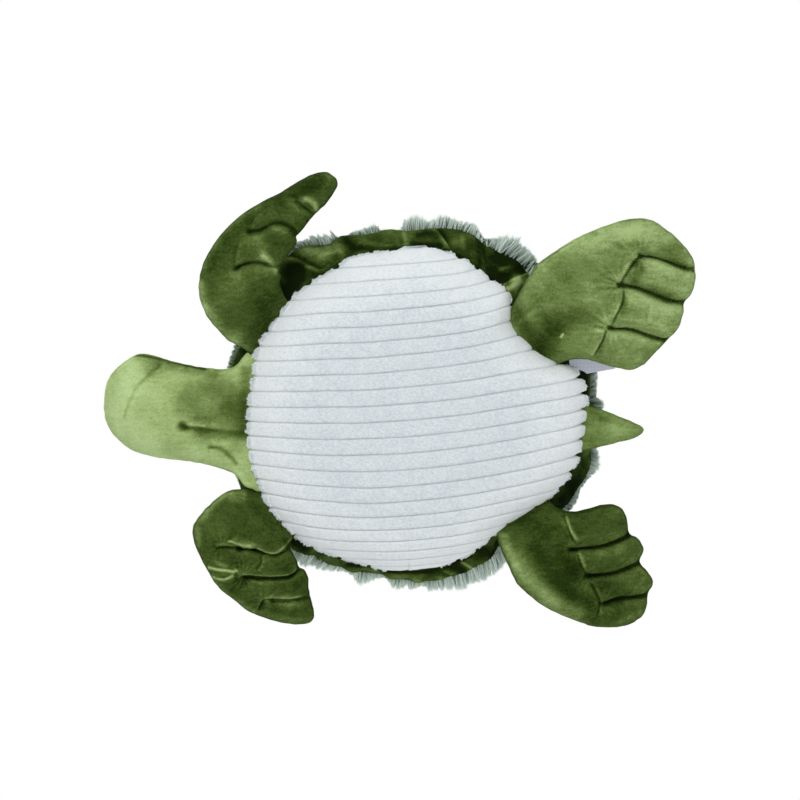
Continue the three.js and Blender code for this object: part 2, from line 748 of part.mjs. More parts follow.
// A safety eye: a domed button whose shank goes through the cover into a washer.
function eyeParts(limb, hinge, side) {
  const pattern = patternOf(limb.pattern, limb.reach);
  const surface = (u, turn) => {
    const v = (1 + side * Math.cos(turn)) / 2;
    const point = pattern.place(u, v);
    const half = roundHalf(limb, pattern, point, 0, u, v);
    return new THREE.Vector3(point.x, point.y, limb.height(point) + half);
  };
  const u0 = 1 - EYE_BACK / HEAD_REACH;
  const turn0 = rad(EYE_ANGLE);
  const spot = surface(u0, turn0);
  const alongU = surface(u0 + 0.02, turn0).sub(spot);
  const alongTurn = surface(u0, turn0 + 0.05).sub(spot);
  const normal = alongU.cross(alongTurn).normalize();
  if (normal.z < 0) normal.negate();
  const frame = new THREE.Matrix4().makeBasis(hinge.across, hinge.out, new THREE.Vector3(0, 0, 1));
  frame.setPosition(hinge.origin);
  const place = spot.applyMatrix4(frame);
  const axis = normal.transformDirection(frame);
  const turnTo = new THREE.Quaternion().setFromUnitVectors(new THREE.Vector3(0, 1, 0), axis);
  const put = (points) => {
    const profile = points.map(([r, y]) => new THREE.Vector2(r, y));
    const geometry = new THREE.LatheGeometry(profile, 16);
    geometry.applyQuaternion(turnTo);
    geometry.translate(place.x, place.y, place.z);
    return solidFrom(geometry);
  };
  const back = SEAM_GAP + 0.5;
  const dome = samples(0, 90, 4).map((turn) => [
    turn === 90 ? 0 : EYE_RADIUS * Math.cos(rad(turn)),
    back + 0.8 + EYE_DOME * Math.sin(rad(turn)),
  ]);
  const shankEnd = back - SHANK_LENGTH;
  const eye = put([
    [0, shankEnd],
    [SHANK_RADIUS, shankEnd],
    [SHANK_RADIUS, back],
    [EYE_RADIUS, back],
    ...dome,
  ]);
  const washerTop = -CLOTH - 1.2;
  const disc = (inner, outer, low, high) =>
    put([[inner, low], [outer, low], [outer, high], [inner, high], [inner, low]]);
  const plug = (outer, low, high) => put([[0, low], [outer, low], [outer, high], [0, high]]);
  const washer = disc(SHANK_RADIUS + SEAM_GAP, WASHER_RADIUS, washerTop - WASHER_THICK, washerTop);
  const holeInCover = plug(SHANK_RADIUS + SEAM_GAP, shankEnd, back + 3);
  const roomInStuffing = plug(WASHER_RADIUS + SEAM_GAP, shankEnd - SEAM_GAP, 0);
  return { eye, washer, holeInCover, roomInStuffing };
}

for (const limb of LIMBS) {
  const hinge = hingeFor(limb);
  let cover = placeLimb(limbCover(limb), hinge);
  let stuffing = placeLimb(limbStuffing(limb), hinge);
  if (limb.name === "head") {
    for (const [side, word] of [[1, "left"], [-1, "right"]]) {
      const parts = eyeParts(limb, hinge, side);
      cover = cover.subtract(parts.holeInCover);
      stuffing = stuffing.subtract(parts.roomInStuffing);
      addPiece("eye_" + word, parts.eye, "black");
      addPiece("eye_washer_" + word, parts.washer, "washer");
    }
  }
  const light = limb.name === "head" || limb.name === "tail";
  addPiece(limb.name + "_cover", cover, light ? "light" : "velour");
  addPiece(limb.name + "_stuffing", stuffing, "fill");
  turtle.userData.hinges[limb.name] = {
    at: hinge.origin.toArray(),
    across: hinge.across.toArray(),
    out: hinge.out.toArray(),
  };
}

// The bare care label is sewn into the belly seam beside the left rear flipper.
const labelRoot = seamPoint(LABEL_AT);
const labelAway = inwardAt(0.98, rad(LABEL_AT)).negate().setZ(0).normalize();
const labelShape = new THREE.BoxGeometry(LABEL_THICK, LABEL_LENGTH, LABEL_WIDTH);
labelShape.translate(0, LABEL_LENGTH / 2, 0);
labelShape.rotateY(Math.PI / 2);
labelShape.rotateX(rad(LABEL_TILT));
labelShape.rotateZ(Math.atan2(-labelAway.x, labelAway.y));
const labelClear = SEAM_GAP + LABEL_THICK;
labelShape.translate(
  labelRoot.x + labelAway.x * labelClear,
  labelRoot.y + labelAway.y * labelClear,
  SEAM_Z - PRESSED_FLAT - LABEL_THICK / 2,
);
addPiece("care_label", solidFrom(labelShape), "label");

export default turtle;
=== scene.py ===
import json
import math

import bpy
import numpy as np
from mathutils import Matrix, Vector


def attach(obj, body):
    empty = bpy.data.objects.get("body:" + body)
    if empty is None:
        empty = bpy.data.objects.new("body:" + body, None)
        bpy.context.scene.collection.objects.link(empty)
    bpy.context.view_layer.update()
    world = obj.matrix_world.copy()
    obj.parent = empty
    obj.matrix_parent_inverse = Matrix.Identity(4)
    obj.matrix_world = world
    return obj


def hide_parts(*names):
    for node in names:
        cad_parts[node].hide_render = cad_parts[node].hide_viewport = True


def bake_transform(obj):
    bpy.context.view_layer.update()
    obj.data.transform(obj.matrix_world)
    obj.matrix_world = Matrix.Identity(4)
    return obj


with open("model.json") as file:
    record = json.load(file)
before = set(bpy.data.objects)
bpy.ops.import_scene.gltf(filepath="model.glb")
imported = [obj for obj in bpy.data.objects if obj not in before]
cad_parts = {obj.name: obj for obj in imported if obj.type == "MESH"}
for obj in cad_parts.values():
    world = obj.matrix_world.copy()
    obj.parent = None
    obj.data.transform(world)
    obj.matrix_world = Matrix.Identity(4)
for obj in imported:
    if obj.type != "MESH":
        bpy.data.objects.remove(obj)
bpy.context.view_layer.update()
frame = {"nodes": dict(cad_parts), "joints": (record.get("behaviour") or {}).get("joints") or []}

# The looks of the weighted plush turtle. Lengths are millimetres until a mesh is made, in the
# model's own frame: +Z up, the head towards -Y, the turtle's left towards +X. A place (px, py) is
# one in the photograph, which runs along +Y to the right and +X upwards, because its camera is
# below the turtle and looks up at the belly.
MM = 0.001
HALF = 400.0  # half the photograph's width and height, in its own steps
STEP = 0.845  # millimetres in one step of the photograph, at AIM_Z
MIDDLE = (414.0, 410.0)  # the belly's middle in the photograph
AIM_Z = 16.0
CAMERA_FAR = 3000.0
CAMERA_TILT = math.radians(5.0)
SENSOR = 36.0
CAMERA_WAY = np.array([-math.sin(CAMERA_TILT), 0, math.cos(CAMERA_TILT)])
CAMERA_RIGHT = np.array([0, 1.0, 0])
CAMERA_UP = np.cross(CAMERA_RIGHT, CAMERA_WAY)
CAMERA_AT = np.array([(MIDDLE[1] - HALF) * STEP, (HALF - MIDDLE[0]) * STEP, AIM_Z]) - CAMERA_WAY * CAMERA_FAR
WORLD_LIGHT = 0.62
WHITE = (1, 1, 1, 1)

# Body, as in the model
SEAM_X = 137.5
SEAM_Y = 144.5
SEAM_Z = 34.0
PRESSED_FLAT = 0.5
BRIM_OUT = 12.5
BRIM_Z = 60.0
SHELL_TOP = 134.0
SHELL_FULLNESS = 2.3
MEAN_R = (SEAM_X + SEAM_Y) / 2
OUTLINE_PULLS = [
    (40, 22, -0.085, 2),
    (57.6, 16, -0.18, 4),
    (144, 20, -0.105, 2),
    (-125, 22, 0.05, 2),
    (-50, 15, -0.02, 2),
]
ABOVE_FLOOR = 0.15  # keeps the belly's skin clear of the floor's own plane
ROUND = 150.0  # millimetres round the brim in one radian
EASE = 0.06  # radians over which a traced edge goes over to its rest


# ---- small helpers

def lerp(a, b, t):
    return a + (b - a) * t


def smooth(x, low, high):
    t = np.clip((np.asarray(x, float) - low) / (high - low), 0, 1)
    return t * t * (3 - 2 * t)


def bell(x, width):
    return np.exp(-((np.asarray(x, float) / width) ** 2))


def unit(v, least=1e-9):
    """Vectors along the last axis, made one long."""
    return v / np.maximum(np.linalg.norm(v, axis=-1, keepdims=True), least)


def wrapped(angle):
    """Angles brought between minus and plus half a turn."""
    return np.angle(np.exp(1j * angle))


def outwards(angle):
    return np.stack(np.broadcast_arrays(np.cos(angle), np.sin(angle), 0 * angle), -1)


def lattice(ix, iy, iz, seed):
    """A fixed random number from -1 to 1 for each place of whole numbers."""
    h = (ix * 374761393 + iy * 668265263 + iz * 974634777 + seed * 144665) & 0xFFFFFFFF
    h = ((h ^ (h >> 13)) * 1274126177) & 0xFFFFFFFF
    return ((h ^ (h >> 16)) & 0xFFFF) / 32768.0 - 1.0


def noise(p, size, seed):
    """Smooth noise from about -1 to 1, whose features are about size across."""
    q = np.asarray(p, float) / size
    i = np.floor(q).astype(np.int64)
    f = q - i
    f = f * f * (3 - 2 * f)
    total = 0.0
    for corner in np.ndindex(2, 2, 2):
        x, y, z = (f[..., k] if far else 1 - f[..., k] for k, far in enumerate(corner))
        total = total + x * y * z * lattice(*(i[..., k] + corner[k] for k in range(3)), seed)
    return total


def plan(px, py, z):
    """A place in the photograph as X and Y of the model, at height z."""
    ray = CAMERA_WAY * CAMERA_FAR + CAMERA_RIGHT * (px - HALF) * STEP + CAMERA_UP * (HALF - py) * STEP
    return (CAMERA_AT + ray * ((z - CAMERA_AT[2]) / ray[2]))[:2]


def picture(p):
    """Places of the model as places in the photograph."""
    d = np.asarray(p, float) - CAMERA_AT
    k = CAMERA_FAR / (d @ CAMERA_WAY) / STEP
    return np.stack([HALF + (d @ CAMERA_RIGHT) * k, HALF - (d @ CAMERA_UP) * k], -1)


def path_distance(xy, path):
    """How far points lie from a path, on which side of it (plus is the left of its direction),
    and how far along it the nearest place is, from 0 to 1."""
    best = np.full(xy.shape[:-1], 1e9)
    side = np.zeros(xy.shape[:-1])
    along = np.zeros(xy.shape[:-1])
    gone = 0.0
    for a, b in zip(path[:-1], path[1:]):
        d = b - a
        leg = float(np.linalg.norm(d))
        t = np.clip(((xy - a) @ d) / max(d @ d, 1e-9), 0, 1)
        away = xy - a - t[..., None] * d
        far = np.hypot(away[..., 0], away[..., 1])
        closer = far < best
        side = np.where(closer, np.sign(d[0] * away[..., 1] - d[1] * away[..., 0]), side)
        along = np.where(closer, gone + t * leg, along)
        best = np.where(closer, far, best)
        gone += leg
    return best, side, along / max(gone, 1e-9)


def inside_polygon(xy, polygon):
    """Which points lie within a closed outline."""
    x, y = xy[..., 0], xy[..., 1]
    within = np.zeros(x.shape, bool)
    for (ax, ay), (bx, by) in zip(polygon, np.roll(polygon, -1, axis=0)):
        if ay != by:
            within ^= ((ay > y) != (by > y)) & (x < (bx - ax) * (y - ay) / (by - ay) + ax)
    return within


def neighbours(height):
    """The sum of each inner cell's four neighbours."""
    return height[2:, 1:-1] + height[:-2, 1:-1] + height[1:-1, 2:] + height[1:-1, :-2]


def inflate(outline, root_side, stitches, step=1.0, rounds=260, over=1.94):
    """How far a flat sewn pattern swells: the square root of a membrane under pressure, which is
    held down at its outline and along its stitches. It returns a function of places in the pattern."""
    low = outline.min(0) - 4 * step
    high = outline.max(0) + 4 * step
    nx, ny = (np.ceil((high - low) / step)).astype(int) + 1
    places = [low[0] + np.arange(nx) * step, low[1] + np.arange(ny) * step]
    grid = np.stack(np.meshgrid(*places, indexing="ij"), -1)
    free = inside_polygon(grid, np.vstack([outline, root_side]))
    for path in stitches:
        free &= path_distance(grid, path)[0] > 0.75 * step
    height = np.where(free, 50.0, 0.0)
    odd = (np.add.outer(np.arange(nx), np.arange(ny)) % 2).astype(bool)
    for _ in range(rounds):
        for cells in (odd, ~odd):
            near = np.zeros_like(height)
            near[1:-1, 1:-1] = neighbours(height) / 4 + step * step / 4
            height = height + np.where(cells & free, over * (near - height), 0)
    height = np.maximum(height, 0)
    for _ in range(2):
        height = (neighbours(np.pad(height, 1, mode="edge")) + 2 * height) / 6

    def sample(xy):
        q = (xy - low) / step
        i = np.clip(np.floor(q).astype(int), 0, [nx - 2, ny - 2])
        f = np.clip(q - i, 0, 1)
        a, b, c, d = (height[i[..., 0] + dx, i[..., 1] + dy] for dy in (0, 1) for dx in (0, 1))
        value = lerp(lerp(a, b, f[..., 0]), lerp(c, d, f[..., 0]), f[..., 1])
        return np.sqrt(2 * np.maximum(value, 0))

    return sample


def spline(points):
    """A Catmull-Rom curve through the points, by its length from 0 to 1."""
    pts = np.asarray(points, float)
    n = len(pts)
    t = np.linspace(0, n - 1, 400)
    i = np.minimum(t.astype(int), n - 1)
    w = (t - i)[:, None]
    p0, p1, p2, p3 = (pts[np.clip(i + k, 0, n - 1)] for k in (-1, 0, 1, 2))
    v0, v1 = (p2 - p0) / 2, (p3 - p1) / 2
    path = (2 * p1 - 2 * p2 + v0 + v1) * w**3 + (-3 * p1 + 3 * p2 - 2 * v0 - v1) * w**2 + v0 * w + p1
    length = np.concatenate([[0], np.cumsum(np.linalg.norm(np.diff(path, axis=0), axis=1))])
    length /= length[-1]
    return lambda s: np.stack([np.interp(s, length, path[:, k]) for k in (0, 1)], -1)


def curve(points):
    """The points joined by a smooth path."""
    if len(points) > 2:
        return spline(points)(np.linspace(0, 1, 8 * len(points)))
    return np.asarray(points, float)


def make_object(name, verts, faces, material):
    mesh = bpy.data.meshes.new(name)
    faces = faces if isinstance(faces, list) else faces.tolist()
    mesh.from_pydata((np.asarray(verts) * MM).tolist(), [], faces)
    mesh.update()
    mesh.polygons.foreach_set("use_smooth", [True] * len(mesh.polygons))
    mesh.materials.append(material)
    piece = bpy.data.objects.new(name, mesh)
    bpy.context.scene.collection.objects.link(piece)
    return piece


def set_value(piece, name, values):
    """Numbers at a piece's points, which its material reads."""
    attribute = piece.data.attributes.new(name, "FLOAT", "POINT")
    attribute.data.foreach_set("value", np.asarray(values, np.float32).ravel())


def normals_of(verts, faces):
    """Unit normals at the vertices of a mesh of quads and triangles."""
    quads = np.array([f if len(f) == 4 else (*f, f[-1]) for f in faces if len(f) in (3, 4)])
    a, b, c, d = (verts[quads[:, k]] for k in range(4))
    flat = np.cross(c - a, d - b)
    same = quads[:, 2] == quads[:, 3]
    flat[same] = np.cross(b[same] - a[same], c[same] - a[same])
    out = np.zeros_like(verts)
    for k in range(4):
        np.add.at(out, quads[:, k], flat)
    return unit(out, 1e-12)


def grid_faces(rows, columns, wrap=False):
    """Quads of a grid of rows by columns of points; wrap joins the last column to the first."""
    k, j = np.meshgrid(np.arange(rows - 1), np.arange(columns if wrap else columns - 1), indexing="ij")
    here, beside = k * columns + j, k * columns + (j + 1) % columns
    return np.stack([here, beside, beside + columns, here + columns], -1).reshape(-1, 4)


def grid_skin(p, columns, wrap, row, column, up):
    """The faces and normals of a grid of points, turned so that the normal at one point faces up
    or down."""
    faces = grid_faces(len(p), columns, wrap)
    normal = normals_of(p.reshape(-1, 3), faces).reshape(p.shape)
    if (normal[row, column, 2] > 0) != up:
        return faces[:, ::-1], -normal
    return faces, normal


def hollows(verts, faces, normal, rounds):
    """How far each point lies below its smoothed neighbourhood: plus in a hollow, minus on a ridge."""
    pairs = np.array([(f[k], f[(k + 1) % len(f)]) for f in faces if len(f) <= 4 for k in range(len(f))])
    ends = ((pairs[:, 0], pairs[:, 1]), (pairs[:, 1], pairs[:, 0]))
    count = np.maximum(np.bincount(pairs.ravel(), minlength=len(verts)), 1)[:, None]
    smoothed = verts.copy()
    for _ in range(rounds):
        total = [sum(np.bincount(a, smoothed[b, k], len(verts)) for a, b in ends) for k in range(3)]
        smoothed = 0.3 * smoothed + 0.7 * np.stack(total, -1) / count
    return ((smoothed - verts) * normal).sum(1)


def pile_and_shade_strokes(verts, strokes):
    """Light and dark strokes: patches of pile laid one way or the other by brushing, painted shade
    along creases and in pockets, and painted highlights on ridges. Each stroke is a path in the
    photograph, with its radius there and how much lighter or darker it is."""
    seen = picture(verts)
    return sum(amount * bell(path_distance(seen, curve(path))[0], radius) for path, radius, amount in strokes)


# ---- materials

def linear(r, g, b):
    """An 8-bit screen colour as the shader's linear colour."""
    shares = (c / 255 for c in (r, g, b))
    return tuple(((c + 0.055) / 1.055) ** 2.4 if c > 0.0404 else c / 12.92 for c in shares) + (1.0,)


def darker(colour, share):
    return tuple(c * share for c in colour[:3]) + (1.0,)


class Tree:
    """A small helper that adds nodes to a node tree."""

    def __init__(self, tree):
        self.tree = tree

    def put(self, target, value):
        """Links another node's output to an input, or sets the input's own value."""
        if isinstance(value, bpy.types.NodeSocket):
            self.tree.links.new(value, target)
        else:
            target.default_value = value

    def add(self, kind, numbered=(), **named):
        """A new node. named holds its settings and inputs by name, numbered its inputs by number."""
        node = self.tree.nodes.new(kind)
        for key, value in named.items():
            if key.replace("_", " ") in node.inputs:
                self.put(node.inputs[key.replace("_", " ")], value)
            else:
                setattr(node, key, value)
        for k, value in dict(numbered).items():
            self.put(node.inputs[k], value)
        return node

    def math(self, kind, a, b):
        return self.add("ShaderNodeMath", {0: a, 1: b}, operation=kind).outputs[0]

    def mix_shader(self, share, a, b):
        return self.add("ShaderNodeMixShader", {0: share, 1: a, 2: b}).outputs[0]


class Surface(Tree):
    """One material's node tree."""

    def __init__(self, name):
        self.material = bpy.data.materials.new(name)
        self.material.use_nodes = True
        super().__init__(self.material.node_tree)
        self.shader = self.tree.nodes["Principled BSDF"]
        self.where = self.add("ShaderNodeTexCoord").outputs["Object"]

    def noise(self, scale, detail, rough, stretch=None, turn=0.0):
        where = self.where
        if stretch:
            where = self.add("ShaderNodeMapping", Rotation=(0, 0, turn), Scale=stretch, Vector=where).outputs[0]
        node = self.add("ShaderNodeTexNoise", Vector=where, Scale=scale, Detail=detail, Roughness=rough)
        return node.outputs["Fac"]

    def remap(self, value, low, high, to_low=0.0, to_high=1.0):
        return self.add("ShaderNodeMapRange", enumerate((value, low, high, to_low, to_high))).outputs[0]

    def mix(self, share, a, b):
        return self.add("ShaderNodeMix", {0: share, 6: a, 7: b}, data_type="RGBA").outputs[2]

    def attribute(self, name):
        return self.add("ShaderNodeAttribute", attribute_name=name).outputs["Fac"]

    def bump(self, height, strength, distance):
        node = self.add("ShaderNodeBump", Strength=strength, Distance=distance, Height=height)
        self.put(self.shader.inputs["Normal"], node.outputs[0])

    def finish(self, colour, roughness, specular, sheen=0.0, sheen_tint=WHITE, sheen_roughness=0.5):
        for name, value in (
            ("Base Color", colour),
            ("Roughness", roughness),
            ("Specular IOR Level", specular),
            ("Sheen Weight", sheen),
            ("Sheen Tint", sheen_tint),
            ("Sheen Roughness", sheen_roughness),
        ):
            self.put(self.shader.inputs[name], value)
        return self.material


def velour(name, ramp, turn=0.0):
    """Short dense pile: it shows light or dark by the way it was laid by brushing, in soft patches.
    Its tone attribute also holds painted shade and painted highlights.
    """
    n = Surface(name)
    streaks = n.noise(330, 5, 0.7, (1.0, 0.3, 1.0), turn)
    patches = n.noise(38, 4, 0.6)
    fine = n.noise(560, 5, 0.75)
    share = n.attribute("tone")
    for grain, spread in ((patches, 0.04), (streaks, 0.09), (fine, 0.11)):
        share = n.math("ADD", share, n.remap(grain, 0.3, 0.7, -spread, spread))
    tones = n.add("ShaderNodeValToRGB", {0: share})
    stops = tones.color_ramp.elements
    while len(stops) < len(ramp):
        stops.new(0.5)
    for k, colour in enumerate(ramp):
        stops[k].position = k / (len(ramp) - 1)
        stops[k].color = linear(*colour)
    n.bump(n.math("ADD", n.math("MULTIPLY", streaks, 0.6), fine), 0.6, 0.0012)
    return n.finish(tones.outputs[0], 0.95, 0.03, 0.04, linear(*ramp[-1]), 0.35)


def ribbed_plush():
    """Cut pile in wide ribs: painted shade makes it grey in the grooves, and painted light whiter
    towards the panel's rim.
    """
    n = Surface("ribbed_plush")
    tufts = n.noise(620, 5, 0.72, (1.0, 0.6, 1.0))
    patches = n.noise(60, 3, 0.6)
    share = n.math("ADD", n.remap(tufts, 0.32, 0.7, -0.45, 0.45), n.remap(patches, 0.3, 0.7, 0.40, 0.64))
    # Painted light: the rim attribute whitens the pile towards the panel's rim.
    share = n.math("ADD", share, n.math("MULTIPLY", n.attribute("rim"), 0.5))
    pile = n.mix(share, linear(210, 220, 227), linear(247, 254, 255))
    n.bump(tufts, 0.8, 0.002)
    # Painted shade: the grooves are mixed towards grey.
    return n.finish(n.mix(n.attribute("groove"), pile, linear(199, 206, 214)), 0.95, 0.1, 0.35)


def long_fur():
    n = Surface("long_fur")
    colour = n.mix(n.attribute("shade"), linear(116, 142, 126), linear(236, 249, 241))
    return n.finish(colour, 0.85, 0.1, 0.1, linear(220, 235, 225), 0.4)


def plain(name, colour, roughness, grain=300, strength=0.2, spread=0.08, specular=0.3):
    """One colour with fine darker grain and a little relief."""
    n = Surface(name)
    spots = n.noise(grain, 3, 0.6)
    shade = n.mix(n.remap(spots, 0.3, 0.7), darker(colour, 1 - 2 * spread), colour)
    n.bump(spots, strength, 0.0008)
    return n.finish(shade, roughness, specular)


def weave(name, colour, pitch):
    """Woven cloth: two sets of threads from wave textures."""
    n = Surface(name)
    waves = dict(Scale=1 / (pitch * MM) / 20, Distortion=0.3, Vector=n.where)
    threads = [n.add("ShaderNodeTexWave", bands_direction=axis, **waves).outputs["Fac"] for axis in ("X", "Y")]
    height = n.math("MAXIMUM", *threads)
    n.bump(height, 0.3, 0.0003)
    return n.finish(n.mix(height, darker(colour, 0.86), colour), 0.6, 0.4, 0.1)


GREENS = [(20, 32, 7), (44, 62, 19), (80, 100, 46), (124, 146, 86), (170, 194, 130)]
PALE_GREENS = [(50, 66, 24), (84, 104, 48), (124, 146, 84), (164, 188, 122), (192, 216, 154)]
VELOUR_FRONT = velour("velour_front", GREENS, 0.5)
VELOUR_REAR_LEFT = velour("velour_rear_left", GREENS, 1.2)
VELOUR_REAR_RIGHT = velour("velour_rear_right", GREENS, -0.6)
VELOUR_BRIM = velour("velour_brim", GREENS)
VELOUR_HEAD = velour("velour_light", PALE_GREENS, 1.5)
VELOUR_TAIL = velour("velour_tail", PALE_GREENS, 1.5)
RIBBED = ribbed_plush()
FUR = long_fur()
FUR_BASE = plain("long_fur_backing", linear(132, 158, 143), 0.9, 420, 0.6, 0.2)
STUFFING = plain("stuffing", linear(244, 244, 240), 0.95, 180, 0.5)
COTTON = weave("cotton", linear(232, 226, 212), 0.9)
BEADS = plain("beads", linear(206, 214, 216), 0.2, 700, 0.6, 0.15, 0.6)
WASHER = plain("washer", linear(222, 222, 216), 0.45, 500, 0.05, 0.03, 0.4)
LABEL = weave("label", linear(214, 216, 236), 0.5)
EYE = plain("eye_black", linear(10, 10, 11), 0.08, 90, 0.02, 0.2, 0.6)


# ---- body

def oval(r, angle):
    """X and Y at r times the plain oval of the seam."""
    return np.stack([SEAM_X * r * np.cos(angle), SEAM_Y * r * np.sin(angle)], -1)


def oval_angle(x, y):
    return np.arctan2(y / SEAM_Y, x / SEAM_X)


def outline_share(angle):
    """How the body's outline differs from the oval, as a share of it."""
    share = 1.0
    for at, half, pull, sharp in OUTLINE_PULLS:
        turn = wrapped(angle - math.radians(at))
        share = share + pull * np.exp(-(np.abs(turn / math.radians(half)) ** sharp))
    return share


def body_point(t, angle):
    """A point of the body's outside: t runs 0 to 1 over the belly, to 2 over the brim, to 3 over the shell."""
    t, angle = np.broadcast_arrays(np.asarray(t, float), np.asarray(angle, float))
    brim = MEAN_R + BRIM_OUT
    belly_turn = np.clip(t, 0, 1) * math.pi / 2
    dome_turn = np.clip(t - 2, 0, 1) * math.pi / 2
    power = 2 / SHELL_FULLNESS
    dome_r = brim * np.maximum(np.cos(dome_turn), 0) ** power
    dome_z = lerp(BRIM_Z, SHELL_TOP, np.sin(dome_turn) ** power)
    rho = np.where(t <= 2, lerp(MEAN_R, brim, t - 1), dome_r)
    rho = np.where(t <= 1, MEAN_R * np.sqrt(np.sin(belly_turn)), rho)
    z = np.where(t <= 2, lerp(SEAM_Z, BRIM_Z, t - 1), dome_z)
    z = np.maximum(np.where(t <= 1, SEAM_Z * (1 - np.cos(belly_turn)), z), PRESSED_FLAT) - PRESSED_FLAT
    r = rho / MEAN_R * lerp(1, outline_share(angle), 1 - np.clip(t - 1, 0, 1) ** 3)
    return np.concatenate([oval(r, angle), z[..., None]], -1)


def traced(groups, z, base, rest):
    """Places traced in the photograph as a function of the angle: how far an outline at height z
    has to stand outside base to pass through them. It is rest where nothing is traced."""
    found = []
    for group in groups:
        amounts = []
        for px, py in group:
            x, y = plan(px, py, z)
            angle = float(oval_angle(x, y))
            at = base(angle)
            amounts.append((angle, (x - at[0]) * math.cos(angle) + (y - at[1]) * math.sin(angle)))
        amounts.sort()
        found += [(amounts[0][0] - EASE, rest)] + amounts + [(amounts[-1][0] + EASE, rest)]
    found.sort()
    angles, values = np.array(found).T
    return lambda angle: np.interp(angle, angles, values, period=2 * math.pi)


# The sewn edge of the belly, the outer edge of the brim and the ends of the pile that hangs over
# it, as places in the photograph. The belly's edge and the brim are traced between the limbs.
BELLY_TRACE = [
    [(303, 289), (310, 283), (320, 277), (326, 275), (334, 273), (338, 267), (345, 260.5), (350, 258),
     (360, 256), (370, 254), (380, 253), (390, 251), (397, 248.5), (403, 247), (412, 247), (420, 246.5),
     (426, 245.5), (431, 246.5), (437, 249), (445, 252), (452, 254), (458, 257), (468, 261.5), (473, 266),
     (480, 270), (486, 275.5), (491, 279.5), (498, 283.5), (503, 286.5), (509, 293)],
    [(300, 539), (308, 545), (320, 550), (330, 553.5), (338, 557), (345, 559), (352, 560.5), (362, 563),
     (370, 565.5), (378, 568), (385, 569.7), (392, 571), (400, 571.5), (410, 572), (418, 571), (425, 569.3),
     (431, 568), (438, 567), (445, 564.5), (453, 561.5), (461, 558), (468, 554.5), (475, 550.5)],
]
NECK_TRACE = [
    [(252, 356), (249.7, 375), (247, 388), (243.8, 407), (243.6, 425), (243.8, 439), (246, 455), (249, 469),
     (255, 482), (259, 491)],
]
BRIM_TRACE = [
    [(268, 286), (275, 272), (284, 257), (292, 249), (303, 245), (312, 244.5), (322, 244.5), (331, 244),
     (336, 239), (341, 236.5), (350, 236), (360, 236.5), (368, 235), (374, 232), (382, 230), (392, 229.5),
     (400, 230.5), (406, 230.5), (412, 229.5), (420, 228.5), (430, 228), (440, 226.5), (450, 226.5),
     (458, 227.5), (466, 229.5), (474, 233), (482, 237), (488, 241), (494, 244.5), (502, 248), (510, 250.5),
     (518, 254), (524, 258), (530, 262), (540, 270)],
    [(590, 372), (589.5, 385), (589, 400)],
    [(590, 448), (590.5, 460), (589, 470), (585, 479), (580, 486), (576, 494), (572, 502), (566, 510)],
    [(292, 543), (299, 548), (305, 551), (312, 555), (318, 559), (326, 562), (334, 564), (342, 564.5),
     (350, 567), (356, 570), (362, 571.5), (370, 571.5), (378, 572), (384, 574), (390, 576.5), (398, 578),
     (406, 578.5), (415, 579), (425, 580), (435, 580), (445, 579), (455, 577.5), (462, 576), (470, 573),
     (477, 570.5), (484, 569), (490, 566), (496, 561), (502, 553)],
]
FRINGE_TRACE = [
    [(266, 282), (273, 266), (282, 252), (290, 243), (297, 240), (302, 240), (305, 237), (308, 234), (312, 233),
     (314, 230.5), (316.5, 235), (320, 234.5), (323, 231), (326, 231.5), (328.5, 228.5), (332, 230),
     (333.5, 240), (337, 240), (340, 237), (350, 236.5), (351, 232), (354, 230.5), (360, 229), (364, 226),
     (367, 227.5), (370, 224), (373, 221), (375, 226.5), (378.5, 225.5), (379.5, 230.5), (398, 229.5),
     (402, 229), (403, 220), (405, 215), (408, 212.3), (411, 213), (414, 211.5), (418, 211.5), (422, 213.5),
     (424, 216), (427.5, 219.5), (432, 217), (437, 213), (441, 211.8), (446, 213), (452, 215), (458, 218),
     (465, 220), (472, 221.5), (478, 224), (480, 231), (482, 234.5), (485, 238.5), (489, 237.5), (499, 237),
     (501.5, 233), (504, 230), (507, 232), (511, 232), (515, 235), (521, 234.5), (522, 242), (527, 244.5),
     (530, 247), (533, 252), (536, 255), (538, 262), (543, 268)],
    [(598, 368), (598.5, 378), (597.5, 390), (597, 398), (604, 400), (605.5, 405), (602, 411)],
    [(597, 447), (601, 455), (601.5, 468), (594, 474), (587, 480), (580, 489), (579.5, 494), (577, 501),
     (572, 509)],
    [(284, 542), (290, 553), (297, 565), (303, 567.5), (307, 566.5), (312, 568), (318, 570), (325, 571.5),
     (332, 572), (342, 571.5), (348, 573), (352, 575.5), (354.5, 580), (357, 586), (364, 586.5), (368, 583.5),
     (373, 581.5), (378, 578), (385, 577), (388, 580), (390, 587), (394, 590), (401, 590.5), (410, 590),
     (416, 588.5), (420, 587), (425, 588.5), (427, 592.5), (432, 593.5), (436, 592), (440, 591), (448, 590.5),
     (455, 591.5), (463, 591.5), (467.5, 589), (468, 584), (476, 583.5), (484, 581.5), (490, 579), (496, 576),
     (499.5, 573), (500, 569.5), (506, 568.5), (511, 562)],
]


def seam_at(angle):
    return oval(outline_share(angle), angle)


def rim_at(angle):
    return body_point(2.0, angle)[..., :2]


BELLY_OVER = traced(BELLY_TRACE + NECK_TRACE, SEAM_Z, seam_at, 1.6)
RIM_OVER = traced(BRIM_TRACE, BRIM_Z, rim_at, 0.0)
FRINGE_OVER = traced(FRINGE_TRACE, BRIM_Z, rim_at, 6.0)


def belly_edge(angle):
    """The belly's sewn edge with the pile that stands over it, as X and Y."""
    return oval(outline_share(angle) + np.clip(BELLY_OVER(angle), -2.5, 8.0) / MEAN_R, angle)


